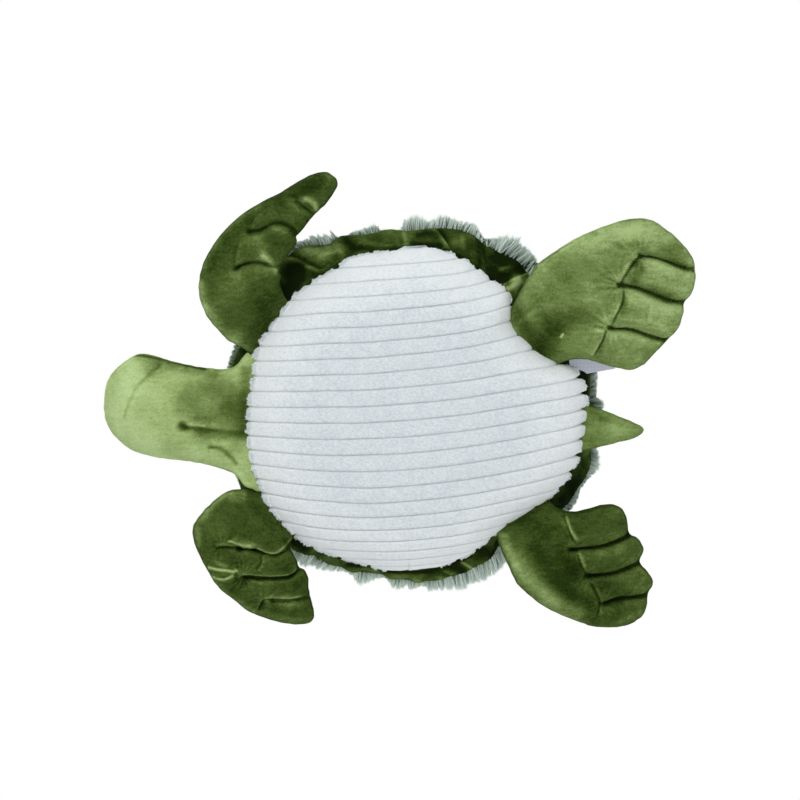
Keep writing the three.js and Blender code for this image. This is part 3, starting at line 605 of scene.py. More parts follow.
# Ribs of the belly panel. rib is 0 at the groove beside the middle and counts grooves upwards.
RIB_FIRST, RIB_LAST = -13.0, 11.0
RIB_ROWS = np.array([0, 0.035, 0.075, 0.13, 0.22, 0.35, 0.5, 0.65, 0.78, 0.87, 0.925, 0.965])
RIB_COLUMNS = 241
GROOVE_DEPTH = 1.3


def rib_middle(rib):
    """Where a groove crosses the middle of the belly: closer together where the panel turns up."""
    squeeze = 0.1525 * np.maximum(-rib - 4, 0) ** 2.5 - 0.1136 * np.maximum(rib, 0) ** 2
    return 2.3 + 14.05 * rib + squeeze


def rib_line(rib, y):
    """The X of a rib line at Y: the ribs slant to the turtle's left towards the tail. Its numbers, and
    those of rib_middle, are fitted to the grooves in the photograph."""
    x = rib_middle(rib)
    s = np.clip((y + 144) / 288, 0, 1)
    front = np.where(x < 0, 0.13, 0.055) * (np.minimum(y, 0) / 137) ** 2
    rear = np.where(x < 0, 0.055, 0.0) * (np.maximum(y, 0) / 137) ** 2
    lift = 4.0 * smooth(x, 0, 40) * bell(y - 92, 35) - 1.9 * bell(x + 26, 24) * smooth(y, 100, 140)
    wander = 0.7 * noise(np.stack([x * np.ones_like(y), y, 0 * y], -1), 38, 3)
    return x * (1 - front - rear) + 25.7 * s**2.34 + lift + wander


def belly_height(x, y):
    """The belly's height at X and Y, and how far out that is, with 1 at its edge."""
    edge = belly_edge(oval_angle(x, y))
    r = np.hypot(x / SEAM_X, y / SEAM_Y) / np.hypot(edge[..., 0] / SEAM_X, edge[..., 1] / SEAM_Y)
    z = SEAM_Z * (1 - np.sqrt(np.maximum(1 - np.minimum(r, 1) ** 4, 0)))
    return np.maximum(z, PRESSED_FLAT) - PRESSED_FLAT, r


def belly_rows():
    """The rib lines that cross the belly, each with the Y where it starts and where it ends."""
    ribs = (np.floor(RIB_FIRST) + np.arange(int(RIB_LAST - RIB_FIRST) + 2)[:, None] + RIB_ROWS[None]).ravel()
    closer = [np.arange(RIB_FIRST, RIB_FIRST + 3.5, 0.03), np.arange(RIB_LAST - 2.5, RIB_LAST + 1.5, 0.03)]
    y = np.linspace(-175, 175, 1401)
    found = []
    for rib in np.unique(np.round(np.concatenate([ribs, *closer]), 4)):
        within = y[belly_height(rib_line(rib, y), y)[1] < 1.0]
        if len(within) and within[-1] - within[0] >= 3:
            found.append((rib, within[0], within[-1]))
    return found


def build_belly():
    """The ribbed panel, row by row along its ribs, and the pile that stands out round its edge."""
    along = np.linspace(0, 1, RIB_COLUMNS)
    rib, first, last = (v[:, None] for v in np.array(belly_rows()).T)
    y = lerp(first, last, along)
    xy = np.stack([np.array([rib_line(float(a), b) for a, b in zip(rib[:, 0], y)]), y], -1)
    within = rib - np.floor(rib)
    plump = 1 - np.abs(2 * within - 1) ** 7
    end_mm = np.minimum(along, 1 - along)[None] * (xy[:, -1:, 1] - xy[:, :1, 1])
    rounded = 1 - bell(end_mm, 2.6)
    tailward = smooth(xy[..., 1], 60, 120) * smooth(60 - np.abs(xy[..., 0] + 5), 0, 20)
    notch = np.abs(2 * within - 1) ** 4
    scallop = lerp(0.4 - 1.2 * notch, 1.2 - 4.4 * notch, tailward) * np.exp(-end_mm / 4.5)
    z, r = belly_height(xy[..., 0], xy[..., 1])
    xy = xy / np.maximum(r, 1)[..., None]
    xy[..., 1] += np.where(along[None] < 0.5, -1, 1) * scallop * smooth(80 - np.abs(xy[..., 0]), 0, 25)
    groove = (1 - plump) * np.ones_like(z)
    p = np.concatenate([xy, z[..., None]], -1)
    faces, normal = grid_skin(p, RIB_COLUMNS, False, len(p) // 2, RIB_COLUMNS // 2, False)
    tufts = noise(p * [1, 0.6, 1], 3.2, 5) * 0.22 + noise(p, 9, 6) * 0.3
    dents = 0.9 * noise(p * [1, 0.5, 1], 45, 7)
    push = -GROOVE_DEPTH * groove + tufts * plump * rounded + dents * 0.6 * smooth(1 - r, 0, 0.2)
    p = p + normal * push[..., None]
    p[..., 2] = np.maximum(p[..., 2], ABOVE_FLOOR)
    piece = make_object("belly", p.reshape(-1, 3), faces, RIBBED)
    # Painted shade in the grooves, a little less towards the rim.
    set_value(piece, "groove", smooth(groove, 0.25, 0.95) * (1 - 0.4 * smooth(r, 0.6, 0.95)))
    # Painted light, rising towards the panel's rim.
    set_value(piece, "rim", smooth(r, 0.55, 1.0))
    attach(piece, "body")
    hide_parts("belly_panel")
    build_belly_pile([(p[r], 0 * groove[r]) for r in (0, -1)], 14, (0.5, 1.0), 0.8, 11)
    build_belly_pile([(p[:, c], groove[:, c]) for c in (-1, 0, 1, 2, 3, 4, 5, 6)], 6, (1.0, 2.1), 0.9, 12)


def blades(name, root, direction, normal, length, width, bend, shade, material, sections):
    """Flat tapering fibres. They leave root along direction and bend towards bend."""
    count, points = len(root), 2 * sections + 1
    side = unit(np.cross(direction, normal))
    verts = np.zeros((count, points, 3))
    shades = np.zeros((count, points))
    for k in range(points):
        s = k // 2 / sections
        across = (2 * (k % 2) - 1) * side * (width * (1 - s) ** 0.7 / 2)[:, None]
        verts[:, k] = root + direction * (length * s)[:, None] + bend * (length * s * s)[:, None] + across
        shades[:, k] = np.clip(lerp(0.15, 1.0, s) * 0.8 + shade, 0, 1)
    base = (np.arange(count) * points)[:, None]
    faces = []
    for k in range(0, points - 3, 2):
        faces += (base + np.array([k, k + 1, k + 3, k + 2])).tolist()
    faces += (base + np.array([points - 3, points - 2, points - 1])).tolist()
    piece = make_object(name, verts.reshape(-1, 3), faces, material)
    set_value(piece, "shade", shades)
    return piece


def build_belly_pile(rim, per_mm, lengths, width, seed):
    """The short cut pile that stands out round the belly. It grows on lines of the panel's own
    points, but not in its grooves."""
    rng = np.random.default_rng(seed)
    roots = []
    for line, groove in rim:
        gone = np.concatenate([[0], np.cumsum(np.linalg.norm(np.diff(line, axis=0), axis=1))])
        at = rng.uniform(0, gone[-1], int(gone[-1] * per_mm))
        at = at[np.interp(at, gone, groove) < 0.1]
        roots.append(np.stack([np.interp(at, gone, line[:, k]) for k in range(3)], -1))
    p = np.concatenate(roots)
    count = len(p)
    away = unit(p * [1, 1, 0])
    round_ = np.cross([0, 0, 1.0], away)
    direction = away + [0, 0, -0.25] + round_ * (0.5 * noise(p, 4, 21))[:, None] + rng.normal(0, 0.25, p.shape)
    direction = unit(direction)
    p = p - away * rng.uniform(0.1, 0.9, count)[:, None] - [0, 0, 0.3]
    length = rng.uniform(*lengths, count) * (1 + 0.8 * noise(p, 2.3, 22))
    down = np.tile([0.0, 0.0, -1.0], (count, 1))
    shade = rng.uniform(0.1, 0.3, count)
    width = np.full(count, width)
    piece = blades(f"belly_pile_{seed}", p, direction, down, length, width, 0 * direction, shade, RIBBED, 2)
    # The pile gets the panel rim's full painted light.
    set_value(piece, "rim", np.ones(len(piece.data.vertices)))
    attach(piece, "body")


BRIM_FOLDS = 46
# Tone strokes on the brim's underside: patches of pile, painted shade in folds and pockets, and painted
# highlights on ridges. Each is a path in the photograph, its radius there and how much lighter or darker.
BRIM_STROKES = [
    ([(303, 250), (320, 249), (333, 248)], 5, 0.22),
    ([(303, 260), (326, 256)], 9, 0.3),
    ([(320, 256), (334, 252)], 2, 0.15),
    ([(338, 246), (343, 256)], 4, 0.24),
    ([(316, 272), (333, 266), (340, 260)], 3, 0.06),
    ([(292, 272), (299, 264)], 7, -0.55),
    ([(300, 267), (314, 264)], 2.5, -0.12),
    ([(284, 300), (290, 287), (298, 274)], 6, -0.5),
    ([(346, 239), (352, 247)], 4, -0.36),
    ([(354, 248), (398, 249)], 2.5, -0.25),
    ([(362, 240), (395, 238)], 6, 0.02),
    ([(354, 253), (366, 252)], 1.5, 0.15),
    ([(404, 233), (406, 243)], 2.5, 0.24),
    ([(397, 240), (399, 246)], 1.5, 0.15),
    ([(418, 235), (441, 233)], 4.5, -0.3),
    ([(413, 244), (440, 247)], 3, -0.45),
    ([(447, 234), (460, 242)], 6, 0.1),
    ([(462, 237), (464, 247)], 2.5, 0.15),
    ([(446, 251), (468, 260)], 2.5, -0.42),
    ([(478, 238), (480, 264)], 2.5, -0.22),
    ([(486, 244), (488, 266)], 2.5, 0.12),
    ([(497, 257), (512, 261), (532, 268)], 7, -0.6),
    ([(492, 272), (506, 280)], 5, -0.6),
    ([(490, 243), (512, 250)], 2, 0.12),
    ([(507, 289), (520, 281)], 4, 0.6),
    ([(503, 285), (512, 280), (528, 273)], 1.2, 0.5),
    ([(520, 250), (530, 258)], 2, 0.1),
    ([(292, 540), (306, 545)], 5, -0.55),
    ([(316, 556), (340, 561)], 3, 0.1),
    ([(344, 562), (353, 561.5)], 1.5, 0.25),
    ([(348, 565), (362, 566)], 2, -0.25),
    ([(364, 569), (377, 570)], 2, 0.22),
    ([(386, 574), (400, 577)], 2, 0.06),
    ([(385, 571), (420, 572), (445, 567), (470, 556)], 2, -0.4),
    ([(428, 573), (436, 575)], 4, -0.25),
    ([(453, 567), (462, 571)], 5, -0.5),
    ([(461, 562), (473, 569)], 1.5, 0.45),
    ([(473, 560), (484, 566)], 5, 0.12),
    ([(480, 550), (492, 554)], 6, -0.5),
    ([(583, 378), (583, 404)], 6, -0.35),
    ([(578, 452), (580, 480)], 7, -0.2),
    ([(572, 484), (564, 502)], 6, -0.5),
    ([(244, 352), (238, 372)], 6, -0.35),
]


def build_brim():
    """The velour underside of the brim, gathered into soft folds by its two seams."""
    rng = np.random.default_rng(5)
    turns, rings = 1200, 34
    angle = np.linspace(0, 2 * math.pi, turns, endpoint=False)
    w = np.linspace(0, 1, rings + 1)[:, None]
    p = body_point(1 + w, angle[None])
    faces, normal = grid_skin(p, turns, True, len(w) // 2, 0, False)
    out = outwards(angle)[None]
    folds = np.zeros((len(w), turns))
    for k in range(BRIM_FOLDS):
        at = (k + rng.uniform(-0.4, 0.4)) * 2 * math.pi / BRIM_FOLDS
        slant = rng.uniform(-0.16, 0.16)
        width = rng.uniform(3.0, 7.5)
        deep = rng.choice([-1, 1], p=[0.6, 0.4]) * rng.uniform(1.0, 3.6)
        turn = wrapped(angle[None] - at - slant * (w - 0.5)) * ROUND
        start = rng.uniform(0.0, 0.35)
        reach = smooth(w, start - 0.2, start + 0.25) * (1 - smooth(w, 0.6, 1))
        folds += deep * (bell(turn, width) - 0.35 * bell(turn - width * 1.6, width)) * reach
    pillow = 4.5 * np.sin(np.pi * w) ** 0.8
    waves = (1.8 * noise(p, 26, 31) + 0.7 * noise(p, 9, 32)) * np.sin(np.pi * w) ** 0.5
    p = p + normal * ((folds * smooth(w, 0, 0.1) + pillow + waves)[..., None])
    p = p + (smooth(w, 0.1, 0.9) * RIM_OVER(angle)[None])[..., None] * out
    rolled = smooth(w, 0.86, 1)[..., None]
    p = p - rolled * out * 0.6 + rolled * np.array([0, 0, 2.0])
    p = p - (1 - smooth(w, 0, 0.08))[..., None] * out * 3.0
    verts = p.reshape(-1, 3)
    normal = normals_of(verts, faces)
    piece = make_object("brim", verts, faces, VELOUR_BRIM)
    tone = 0.30 + 0.16 * noise(verts, 30, 35) + 0.1 * noise(verts, 9, 36)
    # Painted shade in the folds' hollows and painted light on their ridges.
    tone -= 0.15 * np.clip(hollows(verts, faces, normal, 6) / 0.3, -1, 1)
    tone -= 0.12 * np.clip(hollows(verts, faces, normal, 50) / 1.4, -1, 1)
    # Painted shade along the seam with the belly.
    tone -= 0.22 * (1 - smooth(np.repeat(w, turns), 0, 0.3))
    # Strokes of pile with painted shade and painted highlights.
    set_value(piece, "tone", tone + pile_and_shade_strokes(verts, BRIM_STROKES))
    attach(piece, "body")
    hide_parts("brim_underside")
    return p


# ---- shell and fur

SHELL_TURNS, SHELL_RINGS = 320, 60
BLADES, BRIM_BLADES = 66000, 14000
UNDERCOAT = 0.35  # the share of blades that stand on their own under the combed locks
HANGING = 10.5  # how long the fringe hangs where the photograph shows little of it
TUFT = 5.0
NEAR = 0.01


def rim_shift(t, angle):
    """How far the lowest part of the shell moves so that it meets the brim's traced edge."""
    return ((1 - smooth(t, 2.0, 2.3)) * (RIM_OVER(angle) - 0.5))[..., None] * outwards(angle)


def shell_waves(p, t):
    return (1.5 * noise(p, 22, 41) + 2.5 * noise(p, 60, 42)) * (1 - smooth(t, 2.55, 2.85))


def build_shell():
    angle = np.linspace(0, 2 * math.pi, SHELL_TURNS, endpoint=False)[None]
    t = 2 + np.linspace(0, 1, SHELL_RINGS + 1)[:, None] ** 1.15 * 0.995
    p = body_point(t, angle)
    faces, normal = grid_skin(p, SHELL_TURNS, True, -3, 0, True)
    p = p + normal * shell_waves(p, t)[..., None] + rim_shift(t, angle)
    verts = np.concatenate([p.reshape(-1, 3), [[0, 0, SHELL_TOP - PRESSED_FLAT]]])
    last, top = SHELL_RINGS * SHELL_TURNS, len(verts) - 1
    faces = faces.tolist() + [(last + j, last + (j + 1) % SHELL_TURNS, top) for j in range(SHELL_TURNS)]
    piece = make_object("shell", verts, faces, FUR_BASE)
    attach(piece, "body")
    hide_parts("shell_cover", "body_stuffing")


def locks(p):
    """How the fur's locks lean round the shell, and how its blades draw together in clumps."""
    return noise(p, 26, 50)[:, None], np.stack([noise(p, 7.5, 51 + k) for k in range(3)], -1)


def beyond_fringe(p):
    """How far places lie outside the traced ends of the fringe."""
    at = oval_angle(p[:, 0], p[:, 1])
    away = np.stack([np.cos(at), np.sin(at)], -1)
    return ((p[:, :2] - rim_at(at)) * away).sum(1) - FRINGE_OVER(at)


def build_fur(brim):
    """Long pile over the shell, in locks that lie down towards the brim and hang over it. Some of it
    grows on the brim's rolled edge, so that the two meet softly."""
    rng = np.random.default_rng(7)
    count = BLADES
    # Roots, spread evenly over the dome with more of them just above the brim
    angle = rng.uniform(-math.pi, math.pi, count)
    levels = np.linspace(2, 2.995, 200)
    side = body_point(levels, 0 * levels)
    radius = np.hypot(side[:, 0], side[:, 1])
    rings = np.linalg.norm(np.diff(side, axis=0), axis=1) * (radius[1:] + radius[:-1])
    area = np.concatenate([[0], np.cumsum(rings)])
    t = np.interp(rng.uniform(0, 1, count), area / area[-1], levels)
    t = np.where(rng.uniform(0, 1, count) < 0.3, rng.uniform(2, 2.07, count), t)
    p = body_point(t, angle)
    downhill = unit(body_point(np.maximum(t - NEAR, 2.0), angle) - body_point(np.minimum(t + NEAR, 3), angle))
    round_ = unit(body_point(t, angle + NEAR) - body_point(t, angle - NEAR))
    normal = np.cross(round_, downhill)
    normal *= np.sign((normal * (p - [0, 0, 70])).sum(1, keepdims=True))
    # The dome's blades, combed downhill from a soft crown
    lean, clump = locks(p)
    lift = 0.55 + 0.2 * noise(p, 15, 55)[:, None]
    under = (rng.uniform(0, 1, count) < UNDERCOAT)[:, None]
    lean, clump, lift = lean * ~under, clump * ~under, np.where(under, 0.3, lift)
    crown = smooth(np.hypot(p[:, 0], p[:, 1]), 0, 50)[:, None]
    direction = (downhill * 0.75 + round_ * (0.5 * lean)) * crown + [0, 0.3, 0] + normal * lift + clump * 0.45
    direction += rng.normal(0, 0.1, (count, 3)) * np.where(under, 2.5, 1)
    direction = unit(direction)
    p = p + normal * shell_waves(p, t)[:, None] + rim_shift(t, angle)
    # The first blades move to the brim's rolled edge
    rows, turns = brim.shape[:2]
    j = rng.integers(0, turns, BRIM_BLADES)
    low = smooth(-np.cos(j * 2 * math.pi / turns), 0, 0.7)
    kept = rng.uniform(0, 1, BRIM_BLADES) < 0.5 + 0.5 * low
    low = low * smooth(-np.sin(j * 2 * math.pi / turns), -0.3, 0.4)
    j, low = j[kept], low[kept]
    first = len(j)
    inward = 7 + 6 * low * (rng.uniform(0, 1, first) < 0.3)
    p[:first] = brim[rows - 1 - (rng.uniform(0, 1, first) * inward).astype(int), j]
    t[:first] = 2.0
    angle[:first] = (j * 2 * math.pi / turns + math.pi) % (2 * math.pi) - math.pi
    round_[:first] = outwards(angle[:first] + math.pi / 2)
    on_brim = np.arange(count) < first
    # The fringe, in tufts that spread to the ends traced in the photograph
    lean, clump = locks(p)
    fringe = smooth(2.12 - t, 0, 0.12)
    out = outwards(angle)
    hang = FRINGE_OVER(angle) - RIM_OVER(angle)
    wavy = np.arctan2(p[:, 1], p[:, 0]) * ROUND / TUFT + 0.6 * noise(p, 9, 59)
    tuft = np.floor(wavy)
    off = (tuft + 0.5 - wavy) * TUFT
    tall = lattice(tuft.astype(int), 0, 0, 60)
    droop = np.where(on_brim, 0.2, rng.uniform(0.0, 0.8, count))
    way = out + round_ * (0.3 * lean) + clump * 0.22
    way += round_ * np.clip(off / np.maximum(hang, 4) * 0.55, -0.5, 0.5)[:, None]
    way += rng.normal(0, 0.07, (count, 3))
    way = unit(way * [1, 1, 0])
    inner = ((p - body_point(2.0, angle)) * out).sum(1) - RIM_OVER(angle)
    uneven = (0.98 + 0.09 * tall - 0.16 * (off / 2.5) ** 2) * rng.uniform(0.74, 1.04, count)
    outward = np.clip(hang - inner, 0.6, 26) * uneven
    hanging_length = np.where(on_brim, 0.6, HANGING * uneven)
    flat = np.minimum(outward / np.maximum(outward, hanging_length), 1 / np.sqrt(1 + droop**2))
    way = way * flat[:, None] - np.sqrt(1 - flat**2)[:, None] * [0, 0, 1.0]
    direction = lerp(direction, way, fringe[:, None])
    length = 14 + 3 * noise(p, 11, 57) + rng.uniform(-2, 2, count)
    length = np.maximum(lerp(length, outward / flat, fringe), 0.6)
    bend = -0.28 * normal * (1 - fringe[:, None]) + np.array([0, 0, -0.05]) * fringe[:, None]
    # Blades that would pass those ends: the brim's are cut, the dome's bent in
    foot, tip = beyond_fringe(p), beyond_fringe(p + (direction + bend) * length[:, None])
    share = np.clip(-foot / np.maximum(tip - foot, 1e-6), 0.03, 1) * rng.uniform(0.85, 1.03, count)
    length = np.where((tip > 0) & on_brim, length * share, length)
    held = ((tip > 0) & ~on_brim)[:, None]
    direction = direction - held * (out * ((direction * out).sum(1) * (1 - share))[:, None] + [0, 0, 0.25])
    direction = unit(direction)
    # Painted light on the fringe: lighter on the turtle's right and darker towards its tail. On the dome,
    # painted light rises towards the rim to meet the fringe's.
    lit = 0.22 + 0.38 * smooth(-np.cos(angle), -0.2, 0.8) - 0.15 * smooth(np.sin(angle), 0.6, 0.95)
    painted_rim_light = 0.08 + 0.2 * (1 - smooth(t, 2.05, 2.5))
    shade = 0.12 * noise(p, 10, 58) + rng.uniform(-0.14, 0.14, count) + lerp(painted_rim_light, lit, fringe)
    width = rng.uniform(0.8, 1.4, count) - 0.05 * fringe
    for name, some in (("fur", fringe <= 0.5), ("fringe", fringe > 0.5)):
        piece = blades(name, *(v[some] for v in (p, direction, normal, length, width, bend, shade)), FUR, 3)
        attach(piece, "body")


# ---- limbs

FLIPPER_LIP = 5.0
FLIPPER_THICK = 15.3
FLIPPER_PUFF = 0.92
FAN_SHARE = 0.22
BACK_LOOSE = 0.5  # how much less the stitches draw in a flipper's upper side than its lower one
FLIPPER_DROP = SEAM_Z - PRESSED_FLAT - 5.0 - 15.0 - 1.5  # its middle sinks so far, to lie just off the floor
SKIN_BELOW = 9.0  # about how far a limb's lower skin, which the photograph shows, lies below its middle

# Each limb's form. Its outline, creases and tone strokes, which lay patches of pile laid by brushing,
# painted shade and painted highlights, are places in the photograph.
# root holds the two corners at the belly's seam, minus and plus run from them to the tip, and
# stitches hold the two layers together. rise is how far the limb curls up, towards which way and
# between which distances. relief is how much painted shade its hollows get and painted light its
# ridges, base is the pile's tone.
# folds: path, a place on the layer that lies over, height, reach and width.
# fans: centre, spokes, reach and amount. dimples: centre, radius and depth. strokes: path, radius
# in the photograph and how much lighter or darker, as pile, painted shade or painted highlight.
FRONT_LEFT = dict(
    relief=0.55,
    rise=(4, (1.7, 0.4), 60, 140),
    root=[(253, 355.5), (289.5, 312)],
    minus=[(242, 348), (227.8, 340), (216.7, 328.9), (206.7, 315.6), (200, 298), (198.9, 284.4), (201, 271),
        (206.7, 255.6), (216.7, 240), (227.8, 226.7), (243.3, 213.3), (263.3, 201), (278.9, 193.3),
        (296.7, 182.2)],
    tip=[(310, 175), (323, 171.8), (332.5, 175), (337.5, 184), (332.2, 195.6)],
    plus=[(290.4, 303.3), (286.7, 300), (282, 291), (280, 282), (280.7, 275.6), (279.3, 268.9), (287.8, 255.6),
        (294.4, 247.8), (296.7, 241), (296.2, 236.7), (298.9, 233.3), (305.6, 225.6), (314.4, 214.4),
        (323.3, 206.7)],
    stitches=[
        [(279.3, 268.9), (270, 266.5), (258, 263), (247.8, 264), (236, 268.5)],
        [(296.2, 235), (287, 226), (275, 224), (260, 231.5), (249, 232)],
        [(315, 214), (306, 208), (296, 200)],
    ],
    folds=[
        ([(281, 270), (270, 266), (256, 263), (246, 264.5), (236, 269)], (262, 285), 1.3, 7, 1.4),
        ([(248, 233), (240, 243), (236.5, 255), (236, 267)], (256, 250), 0.9, 6, 1.6),
        ([(297, 235), (286, 225.5), (275, 223.5), (262, 230), (249, 232.5)], (275, 240), 1.3, 6, 1.4),
        ([(250, 231), (253, 222), (262, 212), (276, 205)], (275, 218), 0.6, 6, 1.6),
        ([(316, 214), (308, 207), (296, 199), (284, 200)], (290, 214), 1.1, 6, 1.3),
        ([(289, 305), (276, 297), (262, 296)], (262, 320), 1, 5, 1),
    ],
    fans=[
        ((279, 270), 17, 14, 0.9),
        ((283, 296), 13, 16, 0.7),
        ((296, 234), 15, 11, 0.8),
        ((248, 234), 13, 10, 0.6),
        ((235, 269), 13, 10, 0.6),
        ((313, 213), 13, 9, 0.6),
        ((262, 345), 9, 18, 0.5),
    ],
    base=0.39,
    strokes=[
        ([(222, 234), (236, 246)], 9, -0.05),
        ([(210, 314), (222, 326)], 8, -0.07),
        ([(264, 236), (276, 244)], 8, -0.09),
        ([(308, 188), (322, 188)], 9, -0.09),
        ([(205, 312), (215, 328), (232, 340)], 9, 0.34),
        ([(200, 284), (203, 308)], 5, 0.34),
        ([(232, 340), (248, 350)], 4, 0.16),
        ([(258, 268), (268, 270)], 4, 0.08),
        ([(203, 268), (214, 246), (232, 224), (258, 206)], 3.5, 0.16),
        ([(228, 290), (236, 280)], 10, 0.07),
        ([(263, 255), (270, 262), (276, 270)], 3.5, 0.4),
        ([(252, 262), (262, 259)], 3, 0.15),
        ([(306, 199), (314, 203), (316, 209)], 3.2, 0.42),
        ([(296, 199), (303, 201)], 2.5, 0.22),
        ([(258, 236), (262, 246)], 6, 0.12),
        ([(268, 226), (284, 231)], 3, 0.14),
        ([(212, 262), (230, 236), (250, 218)], 9, -0.1),
        ([(262, 306), (272, 300)], 10, -0.14),
        ([(318, 180), (300, 190), (280, 200)], 8, -0.12),
        ([(275, 245), (288, 244)], 6, -0.05),
        ([(262, 318), (256, 342)], 12, -0.07),
        ([(262, 216), (272, 212)], 5, 0.08),
        ([(330, 178), (322, 196)], 3, 0.1),
        ([(284, 274), (284, 292), (290, 306)], 3, 0.12),
        ([(240, 330), (250, 345)], 7, 0.08),
    ],
)
FRONT_RIGHT = dict(
    rise=(34, (-1.08, 0.48), 30, 100),
    root=[(294.7, 535.5), (256.5, 491)],
    minus=[(291, 541), (290.5, 548), (295.5, 557.3), (299.2, 566.6), (304.7, 570.2), (308.4, 579.4),
        (309, 590.5)],
    tip=[(312.2, 603.4), (314, 612.6), (313, 619), (307.5, 623.4), (295.5, 624.6)],
    plus=[(250, 489), (241.2, 489), (229.2, 491), (214.5, 500.3), (201.6, 513.1), (193.8, 524.2),
        (192.7, 535.2), (196, 548.1), (203.4, 562.9), (212.6, 579.4), (221.8, 590.5), (234.7, 600.6),
        (247.6, 610.8), (264.2, 617.6), (280.8, 622.4)],
    stitches=[
        [(290.5, 546), (277, 553), (268, 553), (255, 548), (240, 546.5)],
        [(300, 568.5), (288, 575.8), (266, 577), (246, 575)],
        [(308, 597), (290, 599), (272, 599)],
    ],
    folds=[
        ([(294, 538), (286, 545), (277, 552.5), (268, 552.5), (255, 547.5), (240, 545),
          (227, 540.5)], (262, 525), 2.6, 5, 0.8),
        ([(256, 549), (240, 546.5), (226, 545), (214, 547)], (228, 530), 1.2, 4, 0.9),
        ([(207, 566), (220, 568.5), (237, 570.5)], (222, 575), 1.6, 3, 0.8),
        ([(211, 575.5), (222, 578.5), (234, 574)], (222, 590), 1.4, 3, 0.8),
        ([(299.5, 568), (288, 575.5), (266, 577), (246, 575), (238, 577)], (275, 562), 1.5, 5, 0.8),
        ([(303, 598), (286, 599.5), (266, 598.5), (261, 602), (257, 611.5)], (280, 585), 1.4, 5, 0.9),
        ([(262, 555), (262, 563), (257, 571)], (275, 565), 0.7, 5, 1.2),
    ],
    fans=[
        ((242, 575), 15, 12, 0.8),
        ((292, 544), 15, 9, 0.8),
        ((222, 545), 11, 12, 0.6),
        ((262, 602), 11, 10, 0.6),
        ((300, 568), 13, 9, 0.5),
        ((262, 497), 13, 14, 0.6),
    ],
    base=0.33,
    strokes=[
        ([(272, 600), (290, 602)], 7, 0.26),
        ([(294, 614), (306, 616)], 5, -0.12),
        ([(243, 492), (226, 495), (212, 506), (200, 520)], 4, 0.22),
        ([(197, 530), (199, 545)], 3.5, 0.22),
        ([(232, 500), (244, 498)], 4, 0.14),
        ([(252, 547), (246, 549.5)], 3, 0.28),
        ([(228, 541), (238, 544.5), (250, 546)], 1.2, 0.35),
        ([(258, 549), (268, 553.5), (277, 553), (284, 547)], 1.6, 0.42),
        ([(286, 545), (290, 540), (296, 537)], 1.2, 0.3),
        ([(209, 567), (222, 569.5), (236, 571)], 2, 0.48),
        ([(213, 576), (224, 579), (232, 575.5)], 2, 0.38),
        ([(216, 562), (226, 566)], 2.5, 0.22),
        ([(244, 575), (266, 577), (288, 575)], 1.1, 0.26),
        ([(276, 600.5), (290, 599), (302, 597)], 2, 0.25),
        ([(262, 612), (285, 619), (306, 618)], 5, 0.16),
        ([(215, 583), (232, 597), (255, 612)], 3, 0.18),
        ([(278, 562), (285, 568)], 7, -0.07),
        ([(238, 560), (250, 560)], 8, -0.08),
        ([(262, 604), (260, 608)], 3.5, -0.2),
        ([(236, 579), (244, 581)], 4, -0.16),
        ([(216, 547), (240, 549)], 2, -0.12),
        ([(285, 540), (289, 548)], 3, -0.15),
        ([(262, 500), (275, 512)], 6, 0.1),
    ],
)
